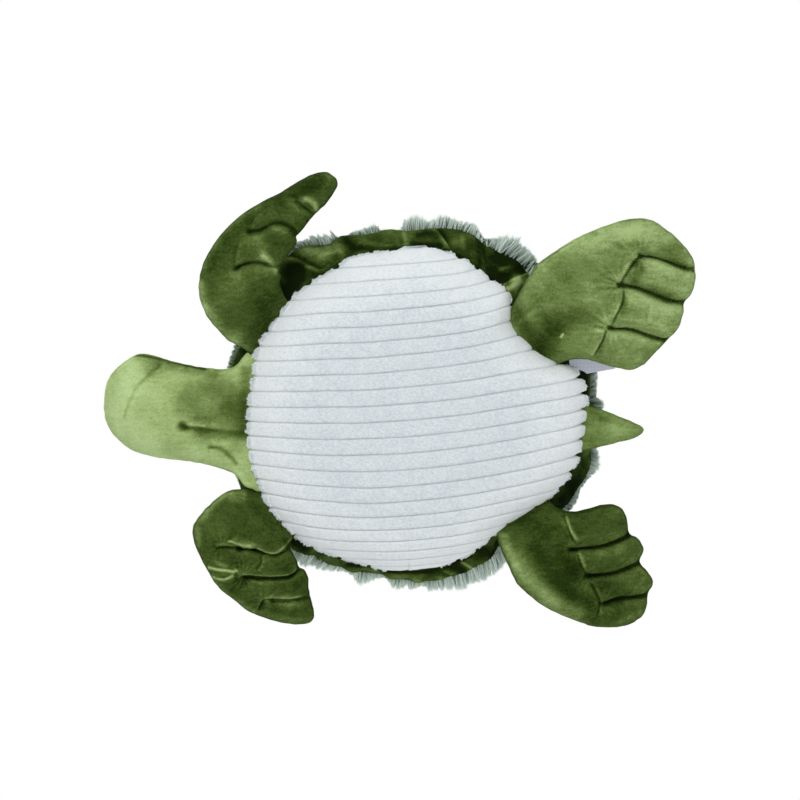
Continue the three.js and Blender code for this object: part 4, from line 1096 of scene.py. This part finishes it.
REAR_LEFT = dict(
    rise=(4, (0.3, 1), 80, 160),
    root=[(509, 318), (548, 366.5)],
    minus=[(510, 311), (514.7, 301.8), (526.8, 279), (537.5, 264.3), (557.6, 249.6), (585.7, 233.5),
        (613.8, 222.8), (628, 219.3)],
    tip=[(640, 218.3), (654, 221.4), (670.1, 232.1), (684.8, 246.9), (693.8, 261), (694.8, 270), (695.6, 279),
        (691.5, 293.7), (683.8, 302.5), (683, 313.8), (678.1, 328.6), (668, 339.3), (658, 350), (644.6, 364)],
    plus=[(553.6, 367), (562, 362.5), (572.3, 359.6), (582, 359.2), (592.4, 361), (613.8, 367.2), (631.2, 370)],
    stitches=[
        [(695, 270), (680, 266), (664, 259.5), (650, 255.5), (638.5, 255.5)],
        [(684, 302), (668, 299), (650, 292), (634, 286), (619.5, 284)],
        [(669, 340), (650, 335), (630, 328), (609, 327)],
    ],
    folds=[
        ([(695, 269), (680, 265.5), (664, 259), (650, 255), (638, 255.5)], (660, 245), 1.6, 5, 0.8),
        ([(684, 301.5), (668, 298.5), (650, 291.5), (634, 285.5), (619, 284)], (655, 278), 1.6, 5, 0.8),
        ([(669, 339.5), (650, 334.5), (630, 327.5), (609, 327)], (640, 312), 1.6, 5, 0.8),
        ([(639, 254), (632, 262), (627, 270), (618, 284)], (612, 262), 2.6, 7, 0.9),
        ([(622.5, 287), (622, 298), (618, 309), (609, 326)], (602, 300), 2.4, 7, 0.9),
        ([(605, 328), (602, 338), (598, 346), (592, 357)], (585, 335), 2, 7, 0.9),
        ([(652, 300), (650, 312), (647, 324)], (660, 312), 0.7, 5, 3),
        ([(630, 295), (627, 308)], (636, 302), 0.5, 4, 2.6),
    ],
    fans=[
        ((638, 255), 13, 12, 0.8),
        ((619, 284), 15, 12, 0.9),
        ((609, 327), 13, 12, 0.8),
        ((516, 322), 13, 22, 0.9),
        ((540, 360), 11, 20, 0.7),
    ],
    base=0.66,
    strokes=[
        ([(586, 300), (596, 300)], 9, 0.1),
        ([(655, 288), (668, 292)], 6, -0.11),
        ([(632, 350), (648, 350)], 8, -0.09),
        ([(660, 246), (672, 254)], 7, -0.08),
        ([(518, 316), (526, 324)], 8, -0.05),
        ([(570, 247), (605, 234), (640, 229), (662, 240)], 13, 0.16),
        ([(620, 232), (655, 232)], 8, 0.08),
        ([(545, 345), (556, 328), (572, 317)], 13, -0.27),
        ([(520, 316), (530, 340), (545, 358)], 8, -0.2),
        ([(540, 300), (548, 330)], 12, -0.12),
        ([(645, 251), (664, 256), (684, 265)], 4.5, -0.18),
        ([(628, 278), (650, 287), (676, 297)], 5, -0.16),
        ([(612, 320), (640, 326), (662, 334)], 4.5, -0.16),
        ([(632, 262), (640, 268), (636, 280)], 5, -0.2),
        ([(623, 294), (622, 312)], 4, -0.18),
        ([(603, 336), (600, 352)], 4, -0.16),
        ([(656, 268), (672, 284)], 9, 0.07),
        ([(688, 275), (684, 292)], 4, 0.05),
        ([(632, 300), (662, 318)], 9, 0.05),
        ([(612, 340), (640, 356)], 9, 0.04),
        ([(662, 248), (682, 256)], 6, -0.1),
        ([(590, 237), (596, 234)], 3, -0.14),
        ([(617, 244), (621, 246)], 3, -0.14),
        ([(642, 249), (636, 246)], 4, -0.14),
        ([(563, 334), (561, 337)], 1, 0.8),
        ([(585, 300), (605, 272), (622, 256)], 12, 0.05),
        ([(520, 300), (535, 276), (555, 258)], 5, 0.06),
        ([(565, 278), (550, 292)], 9, -0.06),
        ([(520, 322), (534, 312)], 3, 0.12),
        ([(560, 366), (548, 352)], 5, 0.08),
        ([(605, 318), (598, 330)], 6, 0.12),
    ],
)
REAR_RIGHT = dict(
    relief=0.8,
    rise=(30, (-0.4, 0.9), 40, 130),
    root=[(548, 499), (496.5, 533)],
    minus=[(554, 505.3), (563.3, 509.9), (574.8, 511.4), (586.3, 509)],
    tip=[(600, 505), (611.6, 504.2), (620.4, 507.4), (625.5, 514.5), (627.8, 523.7), (629.5, 534), (636, 537),
        (641, 542.8), (643.4, 551.4), (639.6, 561.4), (646.6, 570), (652.6, 579), (652, 586), (647.6, 594),
        (647.3, 604.3), (643.9, 613.5), (634.7, 622.4)],
    plus=[(498, 541), (501, 549), (508, 565), (517.2, 583.6), (528.7, 595), (544.9, 606.6), (563.3, 615.9),
        (581.7, 622.8), (595, 626.8), (609.3, 627.4), (623.2, 626.2)],
    stitches=[
        [(629.5, 534), (614, 541), (600, 545), (586, 547), (570, 548)],
        [(639.4, 561.5), (626, 567), (613.9, 571.5), (600, 573.5), (586, 574)],
        [(647.5, 593.5), (632, 596), (618, 597), (602, 602)],
    ],
    folds=[
        ([(629.5, 534), (614, 541), (600, 545), (586, 547), (566, 548)], (605, 528), 1.1, 5, 0.8),
        ([(639.4, 561.5), (626, 567), (613.9, 571.5), (600, 573.5), (586, 574)], (615, 558), 1.1, 5, 0.8),
        ([(647.5, 593.5), (632, 596), (618, 597), (602, 602)], (625, 584), 1.1, 5, 0.8),
        ([(564, 512), (567, 522), (571, 533), (578, 545)], (582, 528), 1.8, 5, 0.9),
        ([(578, 550), (580, 558), (583, 566), (587, 574)], (594, 560), 1.6, 5, 0.9),
        ([(590, 580), (596, 590), (600.5, 602), (598, 616)], (612, 612), 1.6, 5, 0.9),
    ],
    fans=[
        ((572, 548), 13, 11, 0.7),
        ((586, 574), 13, 11, 0.7),
        ((601, 602), 13, 11, 0.7),
        ((543, 506), 13, 16, 0.7),
    ],
    base=0.33,
    strokes=[
        ([(520, 556), (532, 578), (552, 596)], 7, 0.13),
        ([(506, 545), (516, 566)], 5, 0.1),
        ([(564, 552), (576, 568)], 9, -0.13),
        ([(600, 584), (620, 587)], 8, -0.2),
        ([(524, 522), (540, 530)], 9, -0.12),
        ([(598, 520), (612, 520)], 8, -0.07),
        ([(562, 608), (580, 616)], 5, -0.06),
        ([(502, 537), (512, 560), (524, 580), (545, 598), (578, 614)], 9, 0.27),
        ([(520, 550), (536, 580), (556, 604)], 7, 0.06),
        ([(505, 545), (520, 575)], 5, 0.1),
        ([(534, 546), (552, 574), (574, 598)], 8, -0.15),
        ([(560, 560), (572, 572)], 12, -0.13),
        ([(566, 518), (570, 528), (576, 538)], 2.2, 0.32),
        ([(560, 516), (564, 526)], 2.5, 0.12),
        ([(579, 553), (584, 566)], 2, 0.26),
        ([(592, 592), (585, 588)], 5, 0.1),
        ([(604, 520), (616, 512)], 7, 0.07),
        ([(598, 556), (622, 552)], 6, 0.05),
        ([(604, 590), (634, 586)], 6, 0.06),
        ([(608, 540), (590, 543)], 3, -0.1),
        ([(600, 569), (620, 565)], 3, -0.12),
        ([(612, 595), (630, 592)], 2.5, -0.14),
        ([(604, 606), (622, 602)], 3, -0.16),
        ([(545, 520), (530, 530)], 9, 0.03),
        ([(620, 622), (640, 612)], 3.5, 0.14),
        ([(498, 534), (507, 536)], 2, 0.18),
        ([(570, 590), (590, 606)], 5, -0.05),
        ([(536, 506), (546, 500)], 3, -0.12),
        ([(645, 575), (640, 585)], 4, 0.06),
    ],
)
HEAD = dict(
    rise=(12, (0, 1), 0, 75),
    root=[(258, 491.5), (251, 355)],
    minus=[(252, 489), (245, 486.5), (240, 480), (236, 475.5), (229.6, 471.6), (214.4, 467), (199.2, 463),
        (181.8, 460.4), (162.3, 458.2), (147.1, 455), (134, 451)],
    tip=[(123.2, 444.2), (114.5, 435.5), (108, 425.8), (104.4, 413.8), (104.3, 398.6), (106.9, 383.4),
        (113.5, 371.5), (123.2, 362.6)],
    plus=[(247.5, 352.5), (242.5, 357.5), (237.5, 364), (231, 367.8), (220.9, 368.8), (205.7, 367.8),
        (190.5, 365), (171, 360.6), (155.8, 355.8), (142.8, 353.4), (133.5, 356)],
    folds=[
        ([(180, 425.5), (196, 425), (214, 428), (244, 433)], (205, 410), 1.1, 9, 2.2),
        ([(208, 448.5), (224, 450.5), (238, 464)], (215, 462), 0.6, 6, 1.5),
        ([(124, 419), (128, 404), (135, 390)], (112, 400), 0.22, 5, 1.2),
        ([(136, 384), (150, 374), (168, 368)], (140, 366), 0.3, 6, 1.8),
    ],
    dimples=[
        ((183, 426), 5, 2.6),
        ((226, 408), 12, 1.6),
    ],
    fans=[
        ((244, 356), 9, 16, 1.6),
        ((248, 486), 9, 16, 1.6),
    ],
    base=0.74,
    strokes=[
        ([(146, 412), (152, 428)], 15, -0.11),
        ([(165, 450), (180, 452)], 7, -0.08),
        ([(215, 460), (230, 464)], 7, -0.08),
        ([(200, 425), (200, 440)], 10, -0.07),
        ([(204, 386), (216, 394)], 9, -0.06),
        ([(128, 385), (122, 415), (140, 440)], 20, 0.16),
        ([(150, 400), (150, 430)], 16, 0.06),
        ([(190, 398), (205, 420), (222, 408)], 17, -0.3),
        ([(215, 385), (236, 400), (240, 430)], 14, -0.27),
        ([(186, 427), (205, 431), (240, 434)], 5, -0.26),
        ([(196, 418), (214, 420)], 3.5, -0.1),
        ([(188, 424.5), (204, 426)], 1.2, 0.22),
        ([(202, 436), (226, 438)], 4, -0.08),
        ([(138, 357), (160, 361), (185, 367)], 4.5, -0.24),
        ([(190, 369), (215, 373)], 6, -0.22),
        ([(150, 372), (172, 368)], 8, -0.12),
        ([(210, 447), (224, 451), (236, 463)], 2.4, -0.36),
        ([(160, 452), (200, 456), (232, 466)], 9, 0.1),
        ([(236, 474), (246, 486)], 5, 0.12),
        ([(238, 362), (246, 356)], 5, 0.06),
        ([(124, 418), (128, 404), (134, 391)], 1.5, -0.16),
        ([(135, 389), (146, 377), (159, 366)], 2.2, -0.22),
        ([(147, 369), (159, 364)], 5, -0.14),
        ([(226, 392), (218, 402)], 5, 0.1),
        ([(236, 378), (238, 372)], 5, 0.03),
        ([(228, 455), (238, 447)], 7, -0.1),
        ([(232, 420), (240, 410)], 6, -0.05),
        ([(183, 425), (186, 427)], 3.2, -0.25),
        ([(246, 372), (246, 400), (247, 432)], 7, -0.34),
        ([(133, 354.5), (155, 357.5), (190, 366), (205, 369)], 1.6, -0.45),
        ([(110, 376), (118, 365)], 2, -0.2),
    ],
)
TAIL = dict(
    rise=(-4, (0, 1), 0, 45),
    root=[(583.5, 406), (583.5, 450)],
    minus=[(590, 406.8), (600, 409.2), (610, 412.8), (620, 416.8), (630, 420.8), (637, 424)],
    tip=[(641, 426), (643, 428), (643.8, 430.2), (642.6, 432.8), (640, 435)],
    plus=[(590, 449.3), (600, 447), (610, 444.4), (620, 442), (630, 439.4), (636, 437.2)],
    base=0.41,
    strokes=[
        ([(590, 430), (625, 430)], 6, 0.08),
        ([(588, 410), (600, 415)], 3, -0.1),
        ([(600, 418), (608, 420)], 2.5, -0.12),
    ],
)


class Limb:
    """A limb's own frame, across and out from the middle of its hinge line, and its flat pattern."""

    def __init__(self, body, spec, drop, tuck):
        joint = next(j for j in frame["joints"] if j["child"] == body)
        self.body = body
        self.at = np.array(joint["pos_m"]) / MM
        self.across = -np.array(joint["axis"])
        self.out = np.array([self.across[1], -self.across[0], 0.0])
        self.rise, self.drop, self.spec = spec["rise"], drop, spec
        local = self.local(belly_edge(np.linspace(0, 2 * math.pi, 4001)))
        near = local[(local[:, 1] > -70) & (np.abs(local[:, 0]) < 100)]
        self.seam_x, self.seam_y = near[np.argsort(near[:, 0])].T
        corners = [self.trace([p])[0] for p in spec["root"]]
        first, last = (oval_angle(*self.world(np.append(c, 0.0))[:2]) for c in corners)
        turn = wrapped(last - first)
        arc = self.local(belly_edge(np.array([first, first + turn])))

        def root(v):
            """The limb's end, tucked in behind the belly's edge, from one corner to the other."""
            v = np.asarray(v, float)
            at = belly_edge(first + turn * v)
            gap = lerp(corners[0] - arc[0], corners[1] - arc[1], v[..., None])
            return self.local(at - unit(at) * tuck) + gap

        self.root = root
        tip = self.trace(spec["tip"])
        self.tip = spline(tip)
        self.tip_ends = tip[0], tip[-1]
        self.root_ends = root(0.0), root(1.0)
        self.minus, self.plus = (
            spline(np.vstack([self.root_ends[k], corners[k], self.trace(spec[side]), self.tip_ends[k]]))
            for k, side in enumerate(("minus", "plus"))
        )
        s = np.linspace(0, 1, 90)
        self.edge = np.vstack([self.minus(s), self.tip(s)[1:], self.plus(s)[::-1][1:]])

    def local(self, xy):
        d = np.asarray(xy, float)[..., :2] - self.at[:2]
        return np.stack([d @ self.across[:2], d @ self.out[:2]], -1)

    def world(self, p):
        return self.at + p[..., :1] * self.across + p[..., 1:2] * self.out + p[..., 2:] * [0, 0, 1.0]

    def height(self, xy):
        """How high the middle of the limb lies over its hinge."""
        amount, heading, start, end = self.rise
        way = np.array(heading) / np.linalg.norm(heading)
        return -self.drop * smooth(xy[..., 1], 0, 45) + amount * smooth(xy @ way, start, end)

    def trace(self, points, below=0.0):
        """Places in the photograph as places in the pattern, on the limb's middle or below it."""
        found = []
        for px, py in points:
            z = self.at[2]
            for _ in range(5):
                local = self.local(plan(px, py, z))
                z = self.at[2] + float(self.height(local)) - below
            found.append(local)
        return np.array(found)

    def place(self, u, v):
        """The pattern's place at u from root to tip and v from the minus side to the plus side."""
        sides = lerp(self.minus(u), self.plus(u), v[..., None])
        ends = lerp(self.root(v), self.tip(v), u[..., None])
        low, high = (lerp(self.root_ends[k], self.tip_ends[k], u[..., None]) for k in (0, 1))
        return sides + ends - lerp(low, high, v[..., None])

    def from_seam(self, xy):
        return xy[..., 1] - np.interp(xy[..., 0], self.seam_x, self.seam_y)


def noise_flat(xy, size, seed):
    return noise(np.concatenate([xy, 0 * xy[..., :1]], -1), size, seed)


def limb_mesh(limb, half_at, rows, columns, seed):
    """The skin of a stuffed limb: its points and faces, and each point's place in the flat pattern,
    the side that it is on, how far it is from the sewn edge and how far out from the seam."""
    k = np.linspace(0, 1, rows + 1)
    j = np.linspace(0, 1, columns + 1)
    u = lerp(k, 1 - (1 - k) ** 1.8, 0.6)
    v = lerp(j, (1 - np.cos(j * np.pi)) / 2, 0.75)
    uu, vv = np.meshgrid(u, v, indexing="ij")
    xy = limb.place(uu, vv)
    edge = path_distance(xy, limb.edge)[0]
    side = np.ones_like(edge)
    edge[:, 0] = edge[:, -1] = edge[-1] = 0
    halves = half_at(xy, edge, uu, vv)
    for value in (side, *halves):
        value[:, 0] = value[:, -1] = value[-1] = 0
    middle = limb.height(xy)
    pucker = 0.45 * noise_flat(xy, 4.5, seed + 31) * bell(edge, 3.0) * smooth(limb.from_seam(xy), 4, 14)
    inner = unit(limb.place(np.clip(uu, 0.03, 0.97), lerp(0.5, vv, 0.94)) - xy, 1e-6)
    bent = xy + inner * pucker[..., None]
    top, bottom = (np.concatenate([bent, z[..., None]], -1) for z in (middle + halves[0], middle - halves[1]))

    def spread(upper, lower):
        """Rings of the upper and the lower side's values, and the tip's row, point by point."""
        ring = np.concatenate([upper, lower[:, -2:0:-1]], 1)[:-1]
        return np.concatenate([ring.reshape(-1, *upper.shape[2:]), upper[-1]])

    count = 2 * columns
    faces = grid_faces(rows, count, True).tolist()
    last = (rows - 1) * count
    far = [rows * count + min(i % count, (count - i) % count) for i in range(count + 1)]
    for i in range(count):
        face = [last + i, last + (i + 1) % count, far[i + 1], far[i]]
        faces.append(face if far[i] != far[i + 1] else face[:3])
    faces.append(list(range(count))[::-1])
    out = limb.from_seam(xy)
    info = dict(xy=spread(xy, xy), side=spread(side, -side), edge=spread(edge, edge), out=spread(out, out))
    return spread(top, bottom), faces, info


def fold(limb, info, path, over, height, reach, width):
    """One layer lies over the next: the skin rises towards the path and drops sharply across it."""
    path, over = curve(limb.trace(path, SKIN_BELOW)), limb.trace([over], SKIN_BELOW)
    far, where, along = path_distance(info["xy"], path)
    signed = far * where * path_distance(over, path)[1][0]
    ends = smooth(along, 0.0, 0.12) * (1 - smooth(along, 0.88, 1.0))
    rise = smooth(signed, -width, width) * np.exp(-np.maximum(signed, 0) / reach)
    groove = 0.2 * height * bell(signed + width, width * 1.2)
    near = 1 - smooth(far, 2.5 * reach, 4 * reach)
    return (height * rise - groove) * ends * near * smooth(-info["side"], -0.2, 0.5)


def fan(limb, info, centre, spokes, reach, amount, seed):
    """Small puckers that run out from the end of a seam or a stitch."""
    d = info["xy"] - limb.trace([centre], SKIN_BELOW)[0]
    far = np.linalg.norm(d, axis=1)
    wave = np.cos(spokes * np.arctan2(d[:, 1], d[:, 0]) + 2.2 * noise_flat(info["xy"], 9, seed))
    return FAN_SHARE * amount * wave * np.exp(-far / reach) * smooth(far, 1.0, 6.0)


def dimple(limb, info, centre, radius, deep):
    far = np.linalg.norm(info["xy"] - limb.trace([centre], 15.0)[0], axis=1)
    return -deep * bell(far, radius) * smooth(-info["side"], -0.2, 0.5)


def sew_limb(name, spec, drop, tuck, half_for, material, slot, seed, rows, columns, rough, blend):
    """One stuffed limb, from its flat pattern to its skin, whose tone holds painted shade and painted
    highlights, blended into the body.
    """
    limb = Limb(name, spec, drop, tuck)
    verts, faces, info = limb_mesh(limb, half_for(limb), rows, columns, seed)
    bumps = ((30, 0.9), (11, 0.35), (4.5, 0.08))
    push = rough * sum(share * noise(verts, size, seed + k) for k, (size, share) in enumerate(bumps))
    for values in spec.get("folds", ()):
        push = push + fold(limb, info, *values)
    for k, values in enumerate(spec.get("fans", ())):
        push = push + fan(limb, info, *values, seed + 40 + k)
    for values in spec.get("dimples", ()):
        push = push + dimple(limb, info, *values)
    push = push * smooth(info["edge"], 0.0, 2.5) * smooth(info["out"], -2, 7)
    world = limb.world(verts)
    normal = normals_of(world, faces)
    if ((world - world.mean(0)) * normal).sum() < 0:
        normal = -normal
        faces = [f[::-1] for f in faces]
    world = world + normal * push[:, None]
    world[:, 2] = np.maximum(world[:, 2], 0.3)
    normal = normals_of(world, faces)
    below = smooth(-normal[:, 2], -0.15, 0.25)
    free = smooth(info["out"], 8, 30) * spec.get("relief", 1.0)
    # Strokes of pile with painted shade and painted highlights, only on the skin that faces down.
    tone = spec["base"] + pile_and_shade_strokes(world, spec["strokes"]) * below
    # Painted shade in hollows and painted light on ridges.
    tone -= 0.14 * np.clip(hollows(world, faces, normal, 4) / 0.16, -0.8, 1) * free
    tone -= 0.16 * np.clip(hollows(world, faces, normal, 30) / 0.9, -0.7, 1) * free
    tone += 0.06 * noise(world, 17, seed + 5) + 0.03 * noise(world, 7, seed + 6)
    # Painted shade along the sewn edge, where the skin turns away.
    tone -= 0.12 * bell(info["edge"], 1.6)
    piece = make_object(name, world, faces, material)
    set_value(piece, "tone", tone)
    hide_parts(name + "_cover", name + "_stuffing")
    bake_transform(piece)


def dome(v):
    """A half ellipse over v from 0 to 1."""
    return np.sqrt(np.clip(1 - (2 * v - 1) ** 2, 0, 1))


def flipper_half(limb):
    """A flipper's half thickness: its two panels swell between its edge and its stitches."""
    stitches = [curve(limb.trace(path)) for path in limb.spec["stitches"]]
    deeper = np.array([limb.root(1.0) - [0, 25], limb.root(0.0) - [0, 25]])
    swell = inflate(limb.edge, deeper, stitches)
    loose = inflate(limb.edge, deeper, [])

    def half_at(xy, edge, u, v):
        full, back = (
            FLIPPER_THICK * np.tanh(share * FLIPPER_PUFF * form(xy) / FLIPPER_THICK)
            for share, form in ((1.0, swell), (0.8, loose))
        )
        for path in stitches:
            full = full * (1 - 0.25 * bell(path_distance(xy, path)[0], 2.4))
        rounded = np.sqrt(1 - (1 - np.clip(edge / 2.5, 0, 1)) ** 2)
        lips = FLIPPER_LIP * dome(v)
        free = smooth(limb.from_seam(xy), -2, 15)
        sides = ((lips, lerp(full, back, BACK_LOOSE)), (0.5 * lips, full))
        return [lerp(lip, np.maximum(side, 1.6) * rounded, free) for lip, side in sides]

    return half_at


def round_half(lip, thick, swell, blunt):
    """The half thickness of a part that is round in section: the head, and the tail."""

    def half_for(limb):
        def half_at(xy, edge, u, v):
            full = lerp(lip, thick, smooth(xy[..., 1], 0, swell))
            nose = np.sqrt(np.clip(1 - u**blunt, 0, 1))
            half = full * lerp(dome(v), 1, 0.12 * dome(v)) * nose
            return [half, half * lerp(0.25, 1, smooth(limb.from_seam(xy), -2, 26))]

        return half_at

    return half_for


def build_limbs():
    flipper = dict(drop=FLIPPER_DROP, tuck=5.0, half_for=flipper_half, slot="velour", rows=180, columns=130)
    flipper.update(blend=(-5.0, 22.0))
    sew_limb("front_left", FRONT_LEFT, material=VELOUR_FRONT, seed=100, rough=1.1, **flipper)
    sew_limb("front_right", FRONT_RIGHT, material=VELOUR_FRONT, seed=200, rough=0.7, **flipper)
    sew_limb("rear_left", REAR_LEFT, material=VELOUR_REAR_LEFT, seed=300, rough=0.7, **flipper)
    sew_limb("rear_right", REAR_RIGHT, material=VELOUR_REAR_RIGHT, seed=400, rough=0.6, **flipper)
    sew_limb(
        "head", HEAD, drop=0.0, tuck=6.0, half_for=round_half(8.0, 33.0, 75.0, 4.0), material=VELOUR_HEAD,
        slot="velour_light", seed=500, rows=160, columns=120, rough=0.8, blend=(-6.0, 24.0),
    )
    sew_limb(
        "tail", TAIL, drop=0.0, tuck=4.0, half_for=round_half(4.0, 8.0, 14.0, 2.2), material=VELOUR_TAIL,
        slot="velour_light", seed=600, rows=60, columns=48, rough=0.35, blend=(-4.0, 12.0),
    )


# ---- small parts

EYE_RADIUS, EYE_LENGTH = 6.5, 14.3
EYE_TURNS = 48
LABEL_WIDTH = 17.0


def node_points(name):
    return np.array([v.co for v in frame["nodes"][name].data.vertices]) / MM


def eye_axis(spread):
    """The eye's own axis, which fits its radius and its length best, turned upwards."""

    def misfit(a):
        radius = np.linalg.norm(spread - np.outer(spread @ a, a), axis=1).max()
        return abs(radius - EYE_RADIUS) + abs(np.ptp(spread @ a) - EYE_LENGTH)

    axis = min(np.linalg.eigh(spread.T @ spread)[1].T, key=misfit)
    return -axis if axis[2] < 0 else axis


def build_eyes():
    for side in ("left", "right"):
        points = node_points("eye_" + side)
        middle = points.mean(0)
        axis = eye_axis(points - middle)
        foot = middle + axis * (((points - middle) @ axis).max() - 4.8)
        profile = [(0, -9), (2, -9), (2, -0.2), (5.6, -0.2), (6.3, 0.0), (6.55, 0.5)]
        for a in np.linspace(0.02, math.pi / 2, 14):
            profile.append((EYE_RADIUS * math.cos(a), 0.8 + 4.0 * math.sin(a)))
        turn = Vector((0, 0, 1)).rotation_difference(Vector(axis)).to_matrix()
        ring = np.linspace(0, 2 * math.pi, EYE_TURNS, endpoint=False)
        verts = np.array([[(r * math.cos(a), r * math.sin(a), z) for a in ring] for r, z in profile])
        verts = verts.reshape(-1, 3) @ np.array(turn).T + foot
        piece = make_object("eye_" + side + "_dome", verts, grid_faces(len(profile), EYE_TURNS, True), EYE)
        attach(piece, "head")
        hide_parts("eye_" + side)


def build_label():
    """A bare ribbon label, curled along its length and sewn into the belly's seam."""
    p = node_points("care_label")
    order = np.argsort(np.linalg.norm(p[:, :2], axis=1))
    root, tip = p[order[:4]].mean(0), p[order[-4:]].mean(0)
    length = np.linalg.norm(tip - root)
    along = (tip - root) / length
    across = unit(np.cross([0, 0, 1.0], along))
    up = np.cross(along, across)
    rows, columns = 60, 18
    s = np.linspace(-0.06, 1, rows + 1)[:, None, None]
    w = np.linspace(-0.5, 0.5, columns + 1)[None, :, None]
    curl = 2.4 * np.sin(math.pi * np.clip(s, 0, 1)) * (0.4 + w) + 1.6 * w * smooth(s, 0.4, 1)
    verts = (root + along * (s * length) + across * ((w + 0 * s) * LABEL_WIDTH) + up * curl).reshape(-1, 3)
    piece = make_object("label", verts, grid_faces(rows + 1, columns + 1), LABEL)
    thick = piece.modifiers.new("thickness", "SOLIDIFY")
    thick.thickness = 0.0005
    thick.offset = 0
    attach(piece, "body")
    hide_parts("care_label")


def dress_inner_nodes():
    """Materials for the solids that are seen as they are."""
    for name, material in (
        ("body_stuffing", STUFFING),
        ("bead_bag", COTTON),
        ("glass_beads", BEADS),
        ("eye_washer_left", WASHER),
        ("eye_washer_right", WASHER),
    ):
        slots = frame["nodes"][name].data.materials
        slots.clear()
        slots.append(material)


# ---- surroundings, in metres

FLOOR_HALF = 4.0
FLOOR_FADE = 0.45, 1.3


def build_floor():
    """A pale floor that fades to white far out. Seen from below it lets the camera through."""
    mesh = bpy.data.meshes.new("floor")
    s = FLOOR_HALF
    mesh.from_pydata([(-s, -s, 0), (s, -s, 0), (s, s, 0), (-s, s, 0)], [], [(0, 1, 2, 3)])
    floor = bpy.data.objects.new("floor", mesh)
    bpy.context.scene.collection.objects.link(floor)
    n = Surface("floor")
    n.finish((0.86, 0.86, 0.86, 1), 1.0, 0.0)
    rays = n.add("ShaderNodeLightPath").outputs
    front = n.math("SUBTRACT", 1.0, n.add("ShaderNodeNewGeometry").outputs["Backfacing"])
    seen = n.math("MULTIPLY", n.math("MAXIMUM", rays["Is Camera Ray"], rays["Is Glossy Ray"]), front)
    clear = n.add("ShaderNodeBsdfTransparent").outputs[0]
    white = n.add("ShaderNodeEmission", Strength=1.0).outputs[0]
    away = n.add("ShaderNodeVectorMath", {0: n.where}, operation="LENGTH").outputs["Value"]
    fade = n.mix_shader(n.remap(away, *FLOOR_FADE), n.shader.outputs[0], white)
    n.put(n.tree.nodes["Material Output"].inputs["Surface"], n.mix_shader(seen, clear, fade))
    mesh.materials.append(n.material)


def build_world():
    """Even light from all round, and plain white where the camera sees it."""
    world = bpy.data.worlds.new("studio")
    bpy.context.scene.world = world
    world.use_nodes = True
    n = Tree(world.node_tree)
    n.tree.nodes.clear()
    light = n.add("ShaderNodeBackground", Color=WHITE, Strength=WORLD_LIGHT).outputs[0]
    white = n.add("ShaderNodeBackground", Color=WHITE, Strength=1.0).outputs[0]
    rays = n.add("ShaderNodeLightPath").outputs
    seen = n.math("MAXIMUM", rays["Is Camera Ray"], rays["Is Glossy Ray"])
    seen = n.math("MAXIMUM", seen, rays["Is Transmission Ray"])
    n.add("ShaderNodeOutputWorld", {0: n.mix_shader(seen, light, white)})


def lamp(name, place, aim, size, power):
    data = bpy.data.lights.new(name, "AREA")
    data.shape = "SQUARE"
    data.size = size
    data.energy = power
    ob = bpy.data.objects.new(name, data)
    ob.location = place
    ob.rotation_euler = (Vector(aim) - Vector(place)).to_track_quat("-Z", "Y").to_euler()
    ob.visible_camera = False
    bpy.context.scene.collection.objects.link(ob)


def build_lights():
    lamp("under_key", (1.5, -0.4, -1.3), (0, 0, 0.03), 1.0, 15)
    lamp("under_fill", (-1.3, 0.6, -1.5), (0, 0, 0.03), 1.4, 8)
    lamp("over_key", (0.9, -1.2, 1.7), (0, 0, 0.05), 1.0, 26)
    lamp("over_fill", (-1.3, 0.8, 1.4), (0, 0, 0.05), 1.5, 11)


def build_camera():
    data = bpy.data.cameras.new("camera")
    data.sensor_width = SENSOR
    data.lens = SENSOR * CAMERA_FAR / (2 * HALF * STEP)
    camera = bpy.data.objects.new("camera", data)
    bpy.context.scene.collection.objects.link(camera)
    turn = Matrix((CAMERA_RIGHT, CAMERA_UP, -CAMERA_WAY)).transposed().to_4x4()
    camera.matrix_world = Matrix.Translation(Vector(CAMERA_AT * MM)) @ turn
    bpy.context.scene.camera = camera


build_belly()
brim_skin = build_brim()
build_shell()
build_fur(brim_skin)
build_limbs()
build_eyes()
build_label()
dress_inner_nodes()
build_floor()
build_world()
build_lights()
build_camera()
bpy.context.scene.view_settings.view_transform = "Standard"
bpy.context.view_layer.update()
